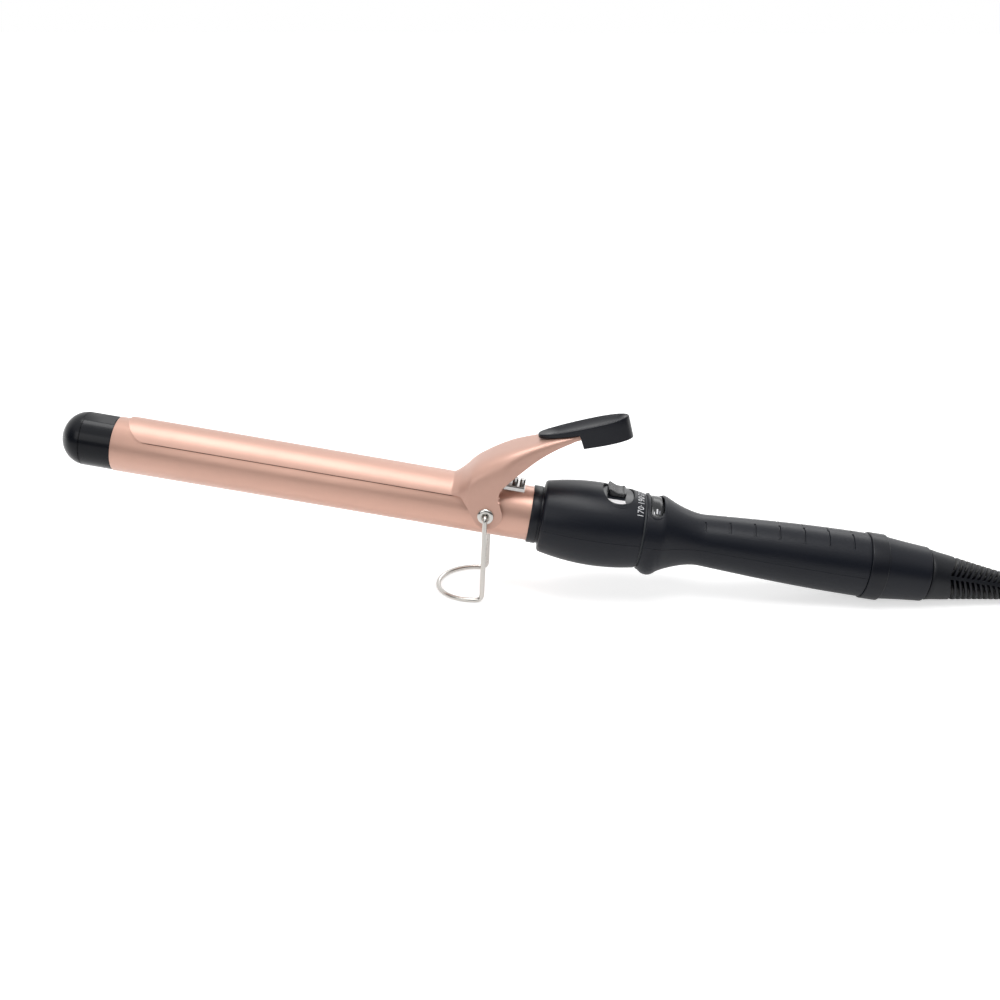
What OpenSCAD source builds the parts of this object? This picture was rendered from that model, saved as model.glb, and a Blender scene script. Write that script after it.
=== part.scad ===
// Curling iron with a spring clamp, a wire stand, a slide switch, a temperature dial and a turning cord boot.
// It lies along X on its stand and its rear cap: cool tip at -X, cord at +X, +Z up, millimetres.
// Pieces of the barrel are placed by on_barrel(), pieces of the handle by on_handle(). In both frames
// X runs along the axis from the rivets towards the cord, Y runs across and Z points away from the table.

/* [Stance] */
// Slope of the barrel when the iron lies on its stand
tilt = 9; // [7:0.5:11]
// Angle between the barrel's axis and the handle's
handle_bend = 1; // [0:0.25:2]
// Depth of the flat that the rear cap rests on
rest_flat = 0.12; // [0.05:0.01:0.3]

/* [Barrel] */
// Outer diameter of the heated barrel
barrel_d = 25; // [24:0.5:26.5]
// Wall of the barrel tube
barrel_wall = 0.9; // [0.7:0.1:1.2]
// Length of barrel from the rivets to the cool tip
barrel_reach = 171.6; // [168:0.2:190]
// Length of barrel behind the rivets
barrel_tail = 40; // [39:0.5:40.4]
// Length of the cool tip beyond the barrel
tip_len = 24.9; // [20:0.1:32]
// Length of the cool tip's rounded end
tip_round = 11; // [8:0.5:12]
// Step from the barrel down to the cool tip
tip_step = 0.25; // [0.1:0.05:0.6]
// Length of the two heat shoes
shoe_len = 130; // [100:1:132]
// Width of the flat heating element
element_w = 14; // [10:0.5:16]
// Thickness of the flat heating element
element_t = 3.6; // [2.4:0.2:4.4]
// Length of the ring between barrel and handle
heat_collar_len = 4.2; // [3:0.2:4.6]
// Height of that ring over the barrel
heat_collar_h = 0.8; // [0.6:0.1:1]

/* [Clamp] */
// Gap between the closed blade and the barrel
blade_gap = 0.3; // [0.25:0.05:0.5]
// Thickness of the clamp's sheet metal
sheet = 0.7; // [0.5:0.1:0.8]
// Length of bare barrel between the blade's round front and the cool tip
blade_setback = 5.4; // [4:0.2:20]
// Half angle of the barrel that the blade covers
blade_wrap = 57; // [48:1:62]
// Gap between the barrel and each ear
ear_gap = 1; // [0.9:0.05:1.2]
// Width of the leaf spring
leaf_w = 8; // [5:0.5:9]
// Thickness of the leaf spring
leaf_t = 0.5; // [0.3:0.05:0.6]
// Length of the thumb pad
pad_len = 42; // [36:0.5:46]
// Greatest width of the thumb pad
pad_w = 13.6; // [12.6:0.2:15]

/* [Rivets and stand] */
// Height of the rivets' axis over the barrel's axis
pivot_rise = 1; // [0:0.25:2]
// Diameter of the rivets' shanks
rivet_d = 4.8; // [4:0.1:5.4]
// Diameter of the rivets' heads
rivet_head_d = 7.5; // [6.4:0.1:8]
// Thickness of the rivets' heads
rivet_head_t = 1.2; // [0.8:0.1:1.4]
// Diameter of the stand's wire
wire_d = 2.2; // [1.8:0.1:2.4]
// Distance between the centres of the stand's two legs
stand_w = 34.4; // [34:0.1:37]
// Lean of the legs towards the tip
stand_lean = 2.4; // [0:0.2:5]
// Length of the straight arms of the foot
foot_arm = 4.5; // [3:0.5:7]
// Radius of the bends between legs and foot
foot_bend = 3; // [2:0.25:4]

/* [Handle] */
// Greatest diameter of the front housing
housing_d = 38.6; // [37.6:0.2:40]
// Length of the front housing
housing_len = 45.6; // [45:0.2:46]
// How much the housing narrows at 20 mm from its widest place
housing_crown = 1.95; // [1.4:0.05:2.2]
// Wall of the housing and grip shells
shell = 2; // [1.6:0.1:2.2]
// Width of the groove between housing and grip
seam = 0.8; // [0.4:0.1:1]
// Diameter of the collar that covers the dial
collar_d = 35.5; // [35:0.1:36.4]
// Length of that collar
collar_len = 9; // [9:0.1:9.6]
// Extra depth of the collar's lobe under the handle
lobe_drop = 2; // [1:0.25:3]
// Diameter of the grip at its waist
waist_d = 23.6; // [23.2:0.2:25]
// Length of the flare from the collar to the waist
flare_len = 18.6; // [16:0.2:22]
// Length of the grip behind its waist
grip_len = 75.4; // [74:0.2:90]
// Growth of the grip's radius from its waist to its end
grip_swell = 2.9; // [2.4:0.1:3.4]
// Distance between the grip's finger grooves
groove_pitch = 11.17; // [9:0.1:11.3]
// Width of a finger groove
groove_w = 0.9; // [0.6:0.1:1.4]
// Depth of a finger groove
groove_depth = 0.5; // [0.3:0.1:0.8]
// Diameter of the raised band
band_d = 30.6; // [30:0.1:31]
// Length of the raised band
band_len = 7.9; // [6:0.1:8]
// Length of the tapered rear cap
cap_len = 20.3; // [20:0.1:22]
// Diameter at the rear cap's end
cap_end_d = 25.1; // [24.6:0.1:26]

/* [Controls] */
// Length of the oval dish around the switch
dish_len = 14.6; // [14:0.2:15.6]
// Width of the oval dish
dish_w = 21.8; // [20.6:0.2:23]
// Depth of the dish on its centreline
dish_depth = 2; // [1.6:0.1:2.4]
// Length of the slide knob
knob_len = 7.6; // [6.5:0.1:8]
// Width of the slide knob
knob_w = 10.4; // [8:0.2:11]
// Height of the knob's front over the dish floor
knob_h = 4.7; // [3.5:0.1:5.5]
// Travel of the switch
slide_travel = 2.8; // [1.5:0.1:2.9]
// Outer diameter of the temperature ring
dial_d = 33.8; // [33.2:0.1:34.2]
// Width of the temperature ring
dial_len = 5.2; // [4.6:0.1:5.6]
// Turn of the temperature ring
dial_turn = 60; // [40:5:60]
// Half angle of the window over the temperature ring
window_angle = 42; // [36:1:45]

/* [Cord boot] */
// Length of the cord boot behind the cap
boot_len = 55.1; // [50:0.1:60]
// Diameter of the boot's end
boot_end_d = 8.6; // [8:0.1:9]
// Diameter of the turning neck inside the boot
neck_d = 12.9; // [11:0.1:14]
// Distance between the boot's ribs
rib_pitch = 2.5; // [2.2:0.1:3]
// Width of the slots between the ribs
rib_slot = 1.2; // [0.8:0.1:1.4]
// Diameter of the cord
cord_d = 6; // [5:0.25:6.5]

/* [Fits] */
// Radial clearance of a running fit
run_fit = 0.05; // [0.03:0.01:0.08]
// Clearance between fixed pieces that slip together
slip_fit = 0.05; // [0.02:0.01:0.1]
// Free gap beside moving pieces
free_gap = 0.2; // [0.1:0.05:0.3]

/* [Hidden] */
$fn = 96;

// Radii
barrel_r = barrel_d / 2;
bore_r = barrel_r - barrel_wall;
tip_r = barrel_r - tip_step;
blade_reach = barrel_reach - blade_setback;
blade_in = barrel_r + blade_gap;
blade_out = blade_in + sheet;
ear_in = barrel_r + ear_gap;
ear_out = ear_in + sheet;
rivet_r = rivet_d / 2;
rivet_head_r = rivet_head_d / 2;
wire_r = wire_d / 2;
wire_bore = wire_r + run_fit;
housing_r = housing_d / 2;
collar_r = collar_d / 2;
waist_r = waist_d / 2;
grip_end_r = waist_r + grip_swell;
band_r = band_d / 2;
cap_end_r = cap_end_d / 2;
dial_r = dial_d / 2;
cord_r = cord_d / 2;
boot_end_r = boot_end_d / 2;
neck_r = neck_d / 2;

// Stations along the handle, measured from the rivets
bend_at = 32;
housing_s = 25;
widest_s = 50;
shoulder_s = housing_s + housing_len;
grip_s = shoulder_s + seam;
collar_end = grip_s + collar_len;
waist_s = collar_end + flare_len;
band_s = waist_s + grip_len;
cap_s = band_s + band_len;
cap_end = cap_s + cap_len;
boot_s = cap_end + 0.3;
boot_end = boot_s + boot_len;
cup_s = housing_s + 2.3;
flange_s = barrel_tail + 0.6;
flange_t = 2;
tube_in = 11.6;
journal_r = 13.95;
shoulder_t = 2.5;
dial_s = shoulder_s + shoulder_t + free_gap;
cavity_end = collar_end - 1;
disc_t = 2;
switch_s = shoulder_s - 12.6;
board_z = 2;
board_t = 1.6;
board_s = flange_s + 5.4;
board_w = 21.2;
sensor_r = 6;
sensor_s = shoulder_s - 1.3;
sensor_t = 4.7;
shaft_r = 1.5;
power_s = collar_end + 9.1;
power_len = 68.5;
power_w = 18.4;
trough_r = 9.3;
trough_t = 1.6;
ring_r = 12.3;
ring_len = 17;
ring_s = cap_s + 2.2 - ring_len;
bearing_t = 2.5;
bearing_s = ring_s + ring_len - 4.5;
spindle_r = 4.5;
hub_disc_r = 9.5;
hub_disc_t = 5.2;
end_wall = 3.6;
hub_disc_s = cap_end - end_wall - hub_disc_t - free_gap / 2;
strip_z = 5.45;
strip_t = 0.4;
screw_r = 1.3;
screw_head_r = 2.5;
boss_r = 3.2;
frame_screws = [board_s + 1, shoulder_s - 5.6];
grip_screw_s = collar_end + 4.8;
lead_z = 4.7;
lead_r = 0.8;

// The rear cap stands on the table, which gives the height of the rivets
function spun(p, a) = [p[0] * cos(a) + p[2] * sin(a), p[1], p[2] * cos(a) - p[0] * sin(a)];
function off_pivot(p) = spun([bend_at, 0, -pivot_rise] + spun(p - [bend_at, 0, 0], -handle_bend), tilt);
slope = tilt - handle_bend;
contact_s = cap_end - 0.6;
pivot_height = cap_end_r * cos(slope) - rest_flat - off_pivot([contact_s, 0, 0])[2];
tip_x = spun([-barrel_reach - tip_len, 0, -pivot_rise], tilt)[0];
rear_x = off_pivot([boot_end, 0, 0])[0] + boot_end_r * sin(slope);
x_shift = -(tip_x + rear_x) / 2;
function handle_point(s) = [x_shift, 0, pivot_height] + off_pivot([s, 0, 0]);

module on_barrel() {
    translate([x_shift, 0, pivot_height]) rotate([0, tilt, 0]) translate([0, 0, -pivot_rise]) children();
}
module on_handle() {
    on_barrel() translate([bend_at, 0, 0]) rotate([0, -handle_bend, 0]) translate([-bend_at, 0, 0])
        children();
}

// A profile of [radius, station] points turned about the X axis. Angle 0 is underneath, 90 the far side,
// 180 the top and 270 the near side.
module turned(points, from = 0, sweep = 360) {
    rotate([0, 90, 0]) rotate([0, 0, from]) rotate_extrude(angle = sweep) polygon(points);
}
module ring(s, len, outer, inner = 0, from = 0, sweep = 360) {
    turned([[inner, s], [outer, s], [outer, s + len], [inner, s + len]], from, sweep);
}
module box(from, to) {
    translate(from) cube(to - from);
}
// A profile of [radius, distance] points turned about the rivets' axis, on the far side or both sides
module at_rivet() {
    for (side = [0, 1]) mirror([0, side, 0]) translate([0, 0, pivot_rise]) rotate([-90, 0, 0]) children();
}
// Local Z points away from the axis, at an angle from the top towards the near side
module radially(s, angle) {
    translate([s, 0, 0]) rotate([angle, 0, 0]) children();
}
// A skin through equal closed loops, each running anticlockwise about the way it travels. The loop of a
// sheet runs along its outside and back along its inside, and its ends are closed across the sheet.
module loft(rings, sheet_loop = false) {
    n = len(rings[0]);
    last = len(rings) - 1;
    sides = [for (i = [0:last - 1], j = [0:n - 1])
        [i * n + j, (i + 1) * n + j, (i + 1) * n + (j + 1) % n, i * n + (j + 1) % n]];
    across = [for (j = [0:n / 2 - 2]) [j, j + 1, n - 2 - j, n - 1 - j]];
    ends = sheet_loop ? concat(across, [for (q = across) [for (k = [3:-1:0]) q[k] + last * n]])
        : [[for (j = [0:n - 1]) j], [for (j = [n - 1:-1:0]) last * n + j]];
    polyhedron([for (r = rings) each r], concat(sides, ends), convexity = 6);
}
// Outline of a bent strip of even thickness about a path in the XZ plane
function unit(v) = v / norm(v);
function path_normal(path, i) =
    let (d = unit(path[min(i + 1, len(path) - 1)] - path[max(i - 1, 0)])) [-d[1], d[0]];
function strip(path, t) = concat(
    [for (i = [0:len(path) - 1]) path[i] + path_normal(path, i) * t / 2],
    [for (i = [len(path) - 1:-1:0]) path[i] - path_normal(path, i) * t / 2]);
module bent_strip(path, t, w) {
    translate([0, w / 2, 0]) rotate([90, 0, 0]) linear_extrude(w) polygon(strip(path, t));
}
function arc(c, r, from, to, n) = [for (i = [0:n]) let (a = from + (to - from) * i / n)
    c + r * [cos(a), sin(a)]];

// ---- Barrel and heater ----

tip_plug = 11.6;
module cool_tip() {
    dome_s = -barrel_reach - tip_len + tip_round;
    facet_z = tip_r - 1.15;
    dome = [for (a = [90:-7.5:0]) [tip_r * cos(a), dome_s - tip_round * sin(a)]];
    color("#17181a") on_barrel() difference() {
        union() {
            turned(concat(dome, [[tip_r, -barrel_reach], [0, -barrel_reach]]));
            ring(-barrel_reach, tip_plug, bore_r - slip_fit);
        }
        box([dome_s - 0.6, -tip_r, facet_z], [-barrel_reach - 0.5, tip_r, tip_r + 1]);
        ring(-barrel_reach - 8, tip_plug + 8.4, bore_r - 3);
    }
}
module barrel_tube() {
    color("#d9a58f") on_barrel() difference() {
        ring(-barrel_reach, barrel_reach + barrel_tail, barrel_r, bore_r);
        at_rivet() cylinder(r = rivet_r, h = barrel_r + 1);
        for (s = spring_screw_s) translate([s, 0, 0]) cylinder(r = spring_screw_r, h = barrel_r + 1);
    }
}
// The shoes lie midway between the rivets and the cool tip's plug
rivet_room = 4;
shoe_end = (shoe_len - barrel_reach + tip_plug - rivet_room) / 2;
element_over = 4;
module heater_shoe() {
    difference() {
        ring(shoe_end - shoe_len, shoe_len, bore_r - slip_fit, 0, 90, 180);
        box([shoe_end - shoe_len - 1, -element_w / 2, -1], [shoe_end + 1, element_w / 2, element_t / 2]);
    }
}
sensor_y = 6;
sensor_z = 5;
sensor_in = 1.5;
module heater_shoe_upper() {
    color("#b9bcc0") on_barrel() difference() {
        heater_shoe();
        translate([shoe_end - 8, sensor_y, sensor_z]) rotate([0, 90, 0]) cylinder(r = sensor_in, h = 9);
    }
}
module heater_shoe_lower() {
    color("#aeb1b5") on_barrel() rotate([180, 0, 0]) heater_shoe();
}
module heater_element() {
    color("#e8e4da") on_barrel()
        box([shoe_end - shoe_len + 5, -element_w / 2 + slip_fit, -element_t / 2 + slip_fit],
            [shoe_end + element_over, element_w / 2 - slip_fit, element_t / 2 - slip_fit]);
}
module temperature_sensor() {
    color("#3a3f45") on_barrel() translate([shoe_end - 8, sensor_y, sensor_z]) rotate([0, 90, 0]) {
        cylinder(r = sensor_in, h = 10);
        for (y = [-0.7, 0.7]) translate([0, y, 9]) cylinder(r = 0.4, h = flange_s - 3.6 - shoe_end);
    }
}
fuse_s = shoe_end + 6;
fuse_len = 10;
fuse_r = 1.7;
module thermal_fuse() {
    color("#d8d2bd") on_barrel() translate([fuse_s, 0, lead_z]) rotate([0, 90, 0])
        cylinder(r = fuse_r, h = fuse_len);
}
lead_end = board_s + 1;
module heater_leads() {
    rise_s = shoe_end + element_over / 2;
    color("#f0efe9") on_barrel() {
        for (y = [-4, 0, 4]) translate([rise_s, y, 0]) {
            translate([0, 0, element_t / 2 - slip_fit])
                cylinder(r = lead_r, h = lead_z - element_t / 2 + slip_fit);
            translate([0, 0, lead_z]) sphere(lead_r, $fn = 32);
        }
        for (y = [-4, 4]) translate([rise_s, y, lead_z]) rotate([0, 90, 0])
            cylinder(r = lead_r, h = lead_end - rise_s);
        translate([rise_s, 0, lead_z]) rotate([0, 90, 0]) cylinder(r = lead_r, h = fuse_s - rise_s);
        translate([fuse_s + fuse_len, 0, lead_z]) rotate([0, 90, 0])
            cylinder(r = lead_r, h = lead_end - fuse_s - fuse_len);
    }
}
module heat_collar() {
    s = housing_s - 0.9 - heat_collar_len;
    r = barrel_r + heat_collar_h;
    lip = 0.3;
    color("#1b1c1e") on_barrel() turned([[barrel_r, s], [r - lip, s], [r, s + lip],
        [r, s + heat_collar_len - lip], [r - lip, s + heat_collar_len],
        [r - lip, cup_s - 0.4], [barrel_r, cup_s - 0.4]]);
}

// ---- Rivets, spring and stand ----

washer_r = 4.2;
clinch_y = 9.9;
clinch_t = 0.7;
module pivot_rivets() {
    head_y = ear_out + run_fit;
    color("#d7d9dc") on_barrel() at_rivet() difference() {
        rotate_extrude() polygon([[0, clinch_y], [rivet_r + 0.9, clinch_y],
            [rivet_r + 0.9, clinch_y + clinch_t], [rivet_r, clinch_y + clinch_t],
            [rivet_r, head_y], [rivet_head_r, head_y],
            [rivet_head_r, head_y + 0.4 * rivet_head_t], [rivet_head_r - 0.5, head_y + 0.8 * rivet_head_t],
            [rivet_head_r - 1.4, head_y + rivet_head_t], [0, head_y + rivet_head_t]]);
        translate([0, 0, clinch_y - 1]) cylinder(r = wire_bore, h = ear_out);
    }
}
module pivot_washers() {
    color("#c4c7ca") on_barrel() at_rivet() difference() {
        translate([0, 0, barrel_r + slip_fit]) cylinder(r = washer_r, h = ear_gap - slip_fit - run_fit);
        translate([0, 0, barrel_r - 1]) cylinder(r = rivet_r, h = 4);
    }
}
spring_screw_s = [10.8, 14.1];
spring_screw_r = 0.9;
plate_t = 0.7;
plate_w = 9.2;
plate_s = 6;
plate_end = 15.5;
module spring_plate() {
    color("#e4e5e6") on_barrel() difference() {
        box([plate_s, -plate_w / 2, barrel_r - 2], [plate_end, plate_w / 2, barrel_r + plate_t]);
        ring(plate_s - 1, plate_end - plate_s + 2, barrel_r);
        for (s = spring_screw_s) translate([s, 0, 0]) cylinder(r = spring_screw_r, h = barrel_r + 3);
    }
}
module spring_screws() {
    color("#cfd1d4") on_barrel() for (s = spring_screw_s) translate([s, 0, 0]) {
        translate([0, 0, bore_r - 1.4])
            cylinder(r = spring_screw_r, h = barrel_r + plate_t + leaf_t - bore_r + 1.6);
        difference() {
            translate([0, 0, barrel_r + plate_t + leaf_t]) cylinder(r = 1.25, h = 2.6);
            box([-2, -0.25, barrel_r + plate_t + leaf_t + 2], [2, 0.25, barrel_r + 9]);
        }
    }
}
// Hairpin leaf: foot on the plate, a bend towards the tip, then up to the inside of the lever
leaf_bend = 3;
leaf_bend_s = -3;
leaf_slope = 47.5;
leaf_z = barrel_r + plate_t + leaf_t / 2;
leaf_end = 6.4;
function leaf_path() = let (c = [leaf_bend_s, leaf_z + leaf_bend],
        touch = [leaf_end, crown_z(leaf_end) - sheet - leaf_t / 2 - 0.3])
    concat([[plate_end - 0.2, leaf_z], [8, leaf_z]], arc(c, leaf_bend, 270, 90 + leaf_slope, 14),
        [touch + [-1.6, -1.15], touch + [-0.6, -0.25], touch, touch + [2.1, 0.2]]);
module lever_spring() {
    color("#dcdee0") on_barrel() difference() {
        bent_strip(leaf_path(), leaf_t, leaf_w);
        for (s = spring_screw_s) translate([s, 0, barrel_r]) cylinder(r = spring_screw_r, h = 3);
    }
}
// Wire stand: two legs from the rivets, bent into a flat foot with a round front
function leg_drop() = pivot_height - wire_r;
module wire_stand() {
    hook = 1.7;
    half = stand_w / 2;
    turn = 90 - stand_lean;
    tangent = foot_bend * tan(turn / 2);
    leg = leg_drop() / cos(stand_lean);
    heel_x = -leg_drop() * tan(stand_lean);
    color("#dfe0e2") translate([x_shift, 0, 0]) {
        for (side = [0, 1]) mirror([0, side, 0]) {
            translate([0, 0, pivot_height]) rotate([0, stand_lean, 0]) {
                translate([0, clinch_y + 0.4, 0]) rotate([-90, 0, 0])
                    cylinder(r = wire_r, h = half - hook - clinch_y - 0.4);
                translate([0, half - hook, -hook]) rotate([90, 0, 90]) rotate_extrude(angle = 90)
                    translate([hook, 0]) circle(wire_r, $fn = 48);
                translate([0, half, -leg + tangent]) cylinder(r = wire_r, h = leg - tangent - hook);
            }
            translate([heel_x - tangent, half, wire_r + foot_bend]) rotate([90, 0, 0])
                rotate([0, 0, -90]) rotate_extrude(angle = turn) translate([foot_bend, 0])
                    circle(wire_r, $fn = 48);
            translate([heel_x - foot_arm, half, wire_r]) rotate([0, 90, 0])
                cylinder(r = wire_r, h = foot_arm - tangent);
        }
        translate([heel_x - foot_arm, 0, wire_r]) rotate([0, 0, 90]) rotate_extrude(angle = 180)
            translate([half, 0]) circle(wire_r, $fn = 48);
    }
}

// ---- Clamp ----

ear_lap = 0.03;
blade_round = 9.2;
// Rows of the blade, saddle and lever: station, crown height over the blade's top, side inset from the ears,
// lower end of the curved crown, squareness, lower edge of the side, share of the folded section
lever_rows = [
    [-blade_reach + blade_round, 0, 2.8, 7.4, 2, 7.3, 0],
    [-17, 0, 2.8, 7.4, 2, 7.3, 0],
    [-14, 2.4, 1.8, 7.6, 2.2, 7.4, 0.35],
    [-11.8, 4.5, 0.8, 7.8, 2.5, 7.1, 0.75],
    [-9.5, 7, 0, 8.6, 2.8, 4.6, 1],
    [-7, 9.4, 0, 9.4, 3.1, 5, 1],
    [-4, 11.7, 0, 10, 3.4, 8, 1],
    [0, 14.4, 0, 11, 3.8, 11, 1],
    [5, 17.3, 0.2, 15, 4.2, 15, 1],
    [10, 19.8, 1.6, 20.8, 4.6, 20.8, 1],
    [18, 23.3, 4.4, 29, 5, 29, 1],
    [25, 26.2, 6, 34.8, 5, 34.8, 1],
    [32, 28.7, 7.6, 39.2, 5, 39.2, 1],
    [36, 30.4, 8.6, 41.2, 5, 41.2, 1],
    [50, 36.3, 9.6, 46.8, 5, 46.8, 1]];
function eased(a, b, c, d, f) =
    (2 * b + (c - a) * f + (2 * a - 5 * b + 4 * c - d) * f * f + (3 * b - a - 3 * c + d) * f * f * f) / 2;
function lever_row(i, f) = let (n = len(lever_rows) - 1)
    eased(lever_rows[max(i - 1, 1)], lever_rows[i], lever_rows[min(i + 1, n)], lever_rows[min(i + 2, n)], f);
function crown_z(s) = blade_out + lookup(s, [for (r = lever_rows) [r[0], r[1]]]);
function signed_power(v, e) = sign(v) * pow(abs(v), e);
// Point k (-1 to 1, far side at -1) of the section, inset by t
function crown_point(row, k, t, wrap) =
    let (top = blade_out + row[1] - t, half = ear_out - ear_lap - row[2] - t,
        bowed = [-(blade_out - t) * sin(wrap * k), top - (blade_out - t) * (1 - cos(wrap * k))],
        folded = [-half * signed_power(sin(90 * k), 2 / row[4]),
            row[3] + (top - row[3]) * pow(abs(cos(90 * k)), 2 / row[4])])
    bowed * (1 - row[6]) + folded * row[6];
function section(row, t, wrap = blade_wrap) =
    let (far = crown_point(row, -1, t, wrap), near = crown_point(row, 1, t, wrap), lip = 0.05) concat(
    [[row[0], far[0], min(row[5], far[1] - lip)]],
    [for (i = [-14:14]) let (p = crown_point(row, i / 14, t, wrap)) [row[0], p[0], p[1]]],
    [[row[0], near[0], min(row[5], near[1] - lip)]]);
function sheet_loop(row, wrap = blade_wrap) =
    concat(section(row, 0, wrap), backwards(section(row, sheet, wrap)));
// The blade's front is an ellipse in plan, so the angle it covers grows along it
function blade_front() = [for (a = [8, 16, 26, 37, 48, 60, 75]) let (row = lever_rows[0])
    sheet_loop([-blade_reach + blade_round * (1 - cos(a)), 0, row[2], row[3], row[4], blade_out, 0],
        asin(sin(blade_wrap) * sin(a)))];
function backwards(list) = [for (i = [len(list) - 1:-1:0]) list[i]];
function lever_stations() = concat([lever_rows[0]],
    [for (i = [1:len(lever_rows) - 2], f = [0, 1 / 2]) lever_row(i, f)], [lever_rows[len(lever_rows) - 1]]);
// Outline of an ear in the plane of the sheet
function ear_outline() = concat([[-9.3, 4.6]], arc([0.8, 1.5], 6.6, 215, 378, 22),
    [[5.9, 6.2], [4.8, 8.6], [4.2, 11], [4.4, 13.4], [5.5, 15.8], [7.4, 18.4], [10, 21.2], [9, 23.4],
    [0, 16.5], [-9.3, 13]]);
pad_slope = atan(0.42);
pad_origin = [17, 0, blade_out + 25.5];
module on_pad() {
    translate(pad_origin) rotate([0, -pad_slope, 0]) children();
}
pad_screw_x = 30;
pad_screw_r = 1.2;
module hair_clamp() {
    color("#dcaa94") on_barrel() difference() {
        union() {
            loft(concat(blade_front(), [for (row = lever_stations()) sheet_loop(row)]), true);
            for (side = [0, 1]) mirror([0, side, 0]) translate([0, ear_out, 0]) rotate([90, 0, 0])
                linear_extrude(sheet) polygon(ear_outline());
        }
        at_rivet() translate([0, 0, barrel_r]) cylinder(r = rivet_r + run_fit, h = 4);
        on_pad() translate([pad_screw_x, 0, -8]) cylinder(r = pad_screw_r, h = 10);
    }
}
// Plan of the thumb pad: pointed in front, widest at 23 mm, round behind
function pad_half(x) = x < 23 ? pad_w / 2 * pow(sin(90 * max(x, 0) / 23), 0.7)
    : pad_w / 2 * sqrt(max(1 - pow((x - 23) / (pad_len - 23), 2.4), 0));
pad_depth = 9;
module thumb_pad() {
    xs = [for (i = [0:24]) pad_len * (1 - cos(180 * i / 24)) / 2];
    plan = concat([for (x = xs) [x, -pad_half(x)]], [for (i = [23:-1:1]) [xs[i], pad_half(xs[i])]]);
    side = [[-1, 0.5], [pad_len + 1, 0.5], [pad_len + 1, -pad_depth - 0.8], [20.6, -pad_depth + 1],
        [20.2, -2.9], [15.2, -2.7], [7.8, -2.1], [-1, -1.3]];
    dish_r = 15;
    color("#141517") on_barrel() difference() {
        on_pad() intersection() {
            translate([0, 0, -12]) linear_extrude(12) polygon(plan);
            translate([0, 12, 0]) rotate([90, 0, 0]) linear_extrude(24) polygon(side);
        }
        on_pad() translate([-2, 0, dish_r - 1.4]) rotate([0, 90, 0]) cylinder(r = dish_r, h = pad_len + 4);
        loft([for (row = lever_stations()) if (row[0] > 13) section(row, -slip_fit)]);
        on_pad() translate([pad_screw_x, 0, -12]) {
            cylinder(r = pad_screw_r, h = 10);
            cylinder(r = screw_head_r, h = 4.4);
        }
    }
}
module pad_screw() {
    color("#9a9da1") on_barrel() on_pad() translate([pad_screw_x, 0, 0]) difference() {
        union() {
            translate([0, 0, -9]) cylinder(r = pad_screw_r, h = 6.9);
            translate([0, 0, -9]) cylinder(r = screw_head_r - slip_fit, h = 1.4);
        }
        cross_recess(-9, 0.8);
    }
}
module cross_recess(z, depth) {
    for (turn = [0, 90]) rotate([0, 0, turn]) box([-1.4, -0.3, z - 1], [1.4, 0.3, z + depth]);
}

// ---- Frame inside the handle ----

module inner_frame() {
    slot_half = dial_turn / 2 + 13;
    slot_s = dial_s + 1.2;
    cup_r = housing_front_r() - shell - 0.4;
    color("#3c3f43") difference() {
        on_handle() difference() {
            union() {
                ring(cup_s, flange_s - cup_s, cup_r);
                ring(flange_s, flange_t, cup_r, 9);
                ring(flange_s + flange_t, cavity_end - flange_s - flange_t, journal_r, tube_in);
                ring(shoulder_s, shoulder_t, collar_r - 1.25, tube_in);
                ring(cavity_end, disc_t, journal_r, shaft_r + run_fit);
                board_rails();
                ring(cavity_end + disc_t, ring_s - cavity_end, trough_r, trough_r - trough_t, -90, 180);
                ring(ring_s, disc_t, ring_r, trough_r - 0.8);
                ring(ring_s, ring_len, ring_r, ring_r - 1.3);
                ring(bearing_s, bearing_t, ring_r, spindle_r + run_fit);
            }
            box([board_s + 1, -8, 5], [shoulder_s - 2.6, 8, 20]);
            ring(slot_s, dial_len - 2.2, journal_r + 1, tube_in - 1, -slot_half, 2 * slot_half);
            for (y = wire_y)
                box([cavity_end - 1, y - 1.1, wire_z - 1.1],
                    [cavity_end + disc_t + 1, y + 1.1, wire_z + 1.1]);
            for (side = [0, 1]) rotate([180 * side, 0, 0])
                box([bearing_s - 1, -3, spindle_r + 0.5], [bearing_s + bearing_t + 1, 3, 8.6]);
            for (s = frame_screws) radially(s, 180) cylinder(r = screw_r, h = journal_r + 3);
            radially(grip_screw_s, 180) cylinder(r = boss_r + 0.3, h = 20);
        }
        on_barrel() ring(0, flange_s + 0.3, barrel_r);
    }
}
module board_rails() {
    intersection() {
        ring(flange_s + 1, sensor_s - flange_s - 1, tube_in + 0.5);
        for (side = [0, 1]) mirror([0, side, 0])
            box([flange_s, board_w / 2 - 1.6, 0.4], [sensor_s, tube_in + 1, board_z]);
    }
}

// ---- Handle shells ----

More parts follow.
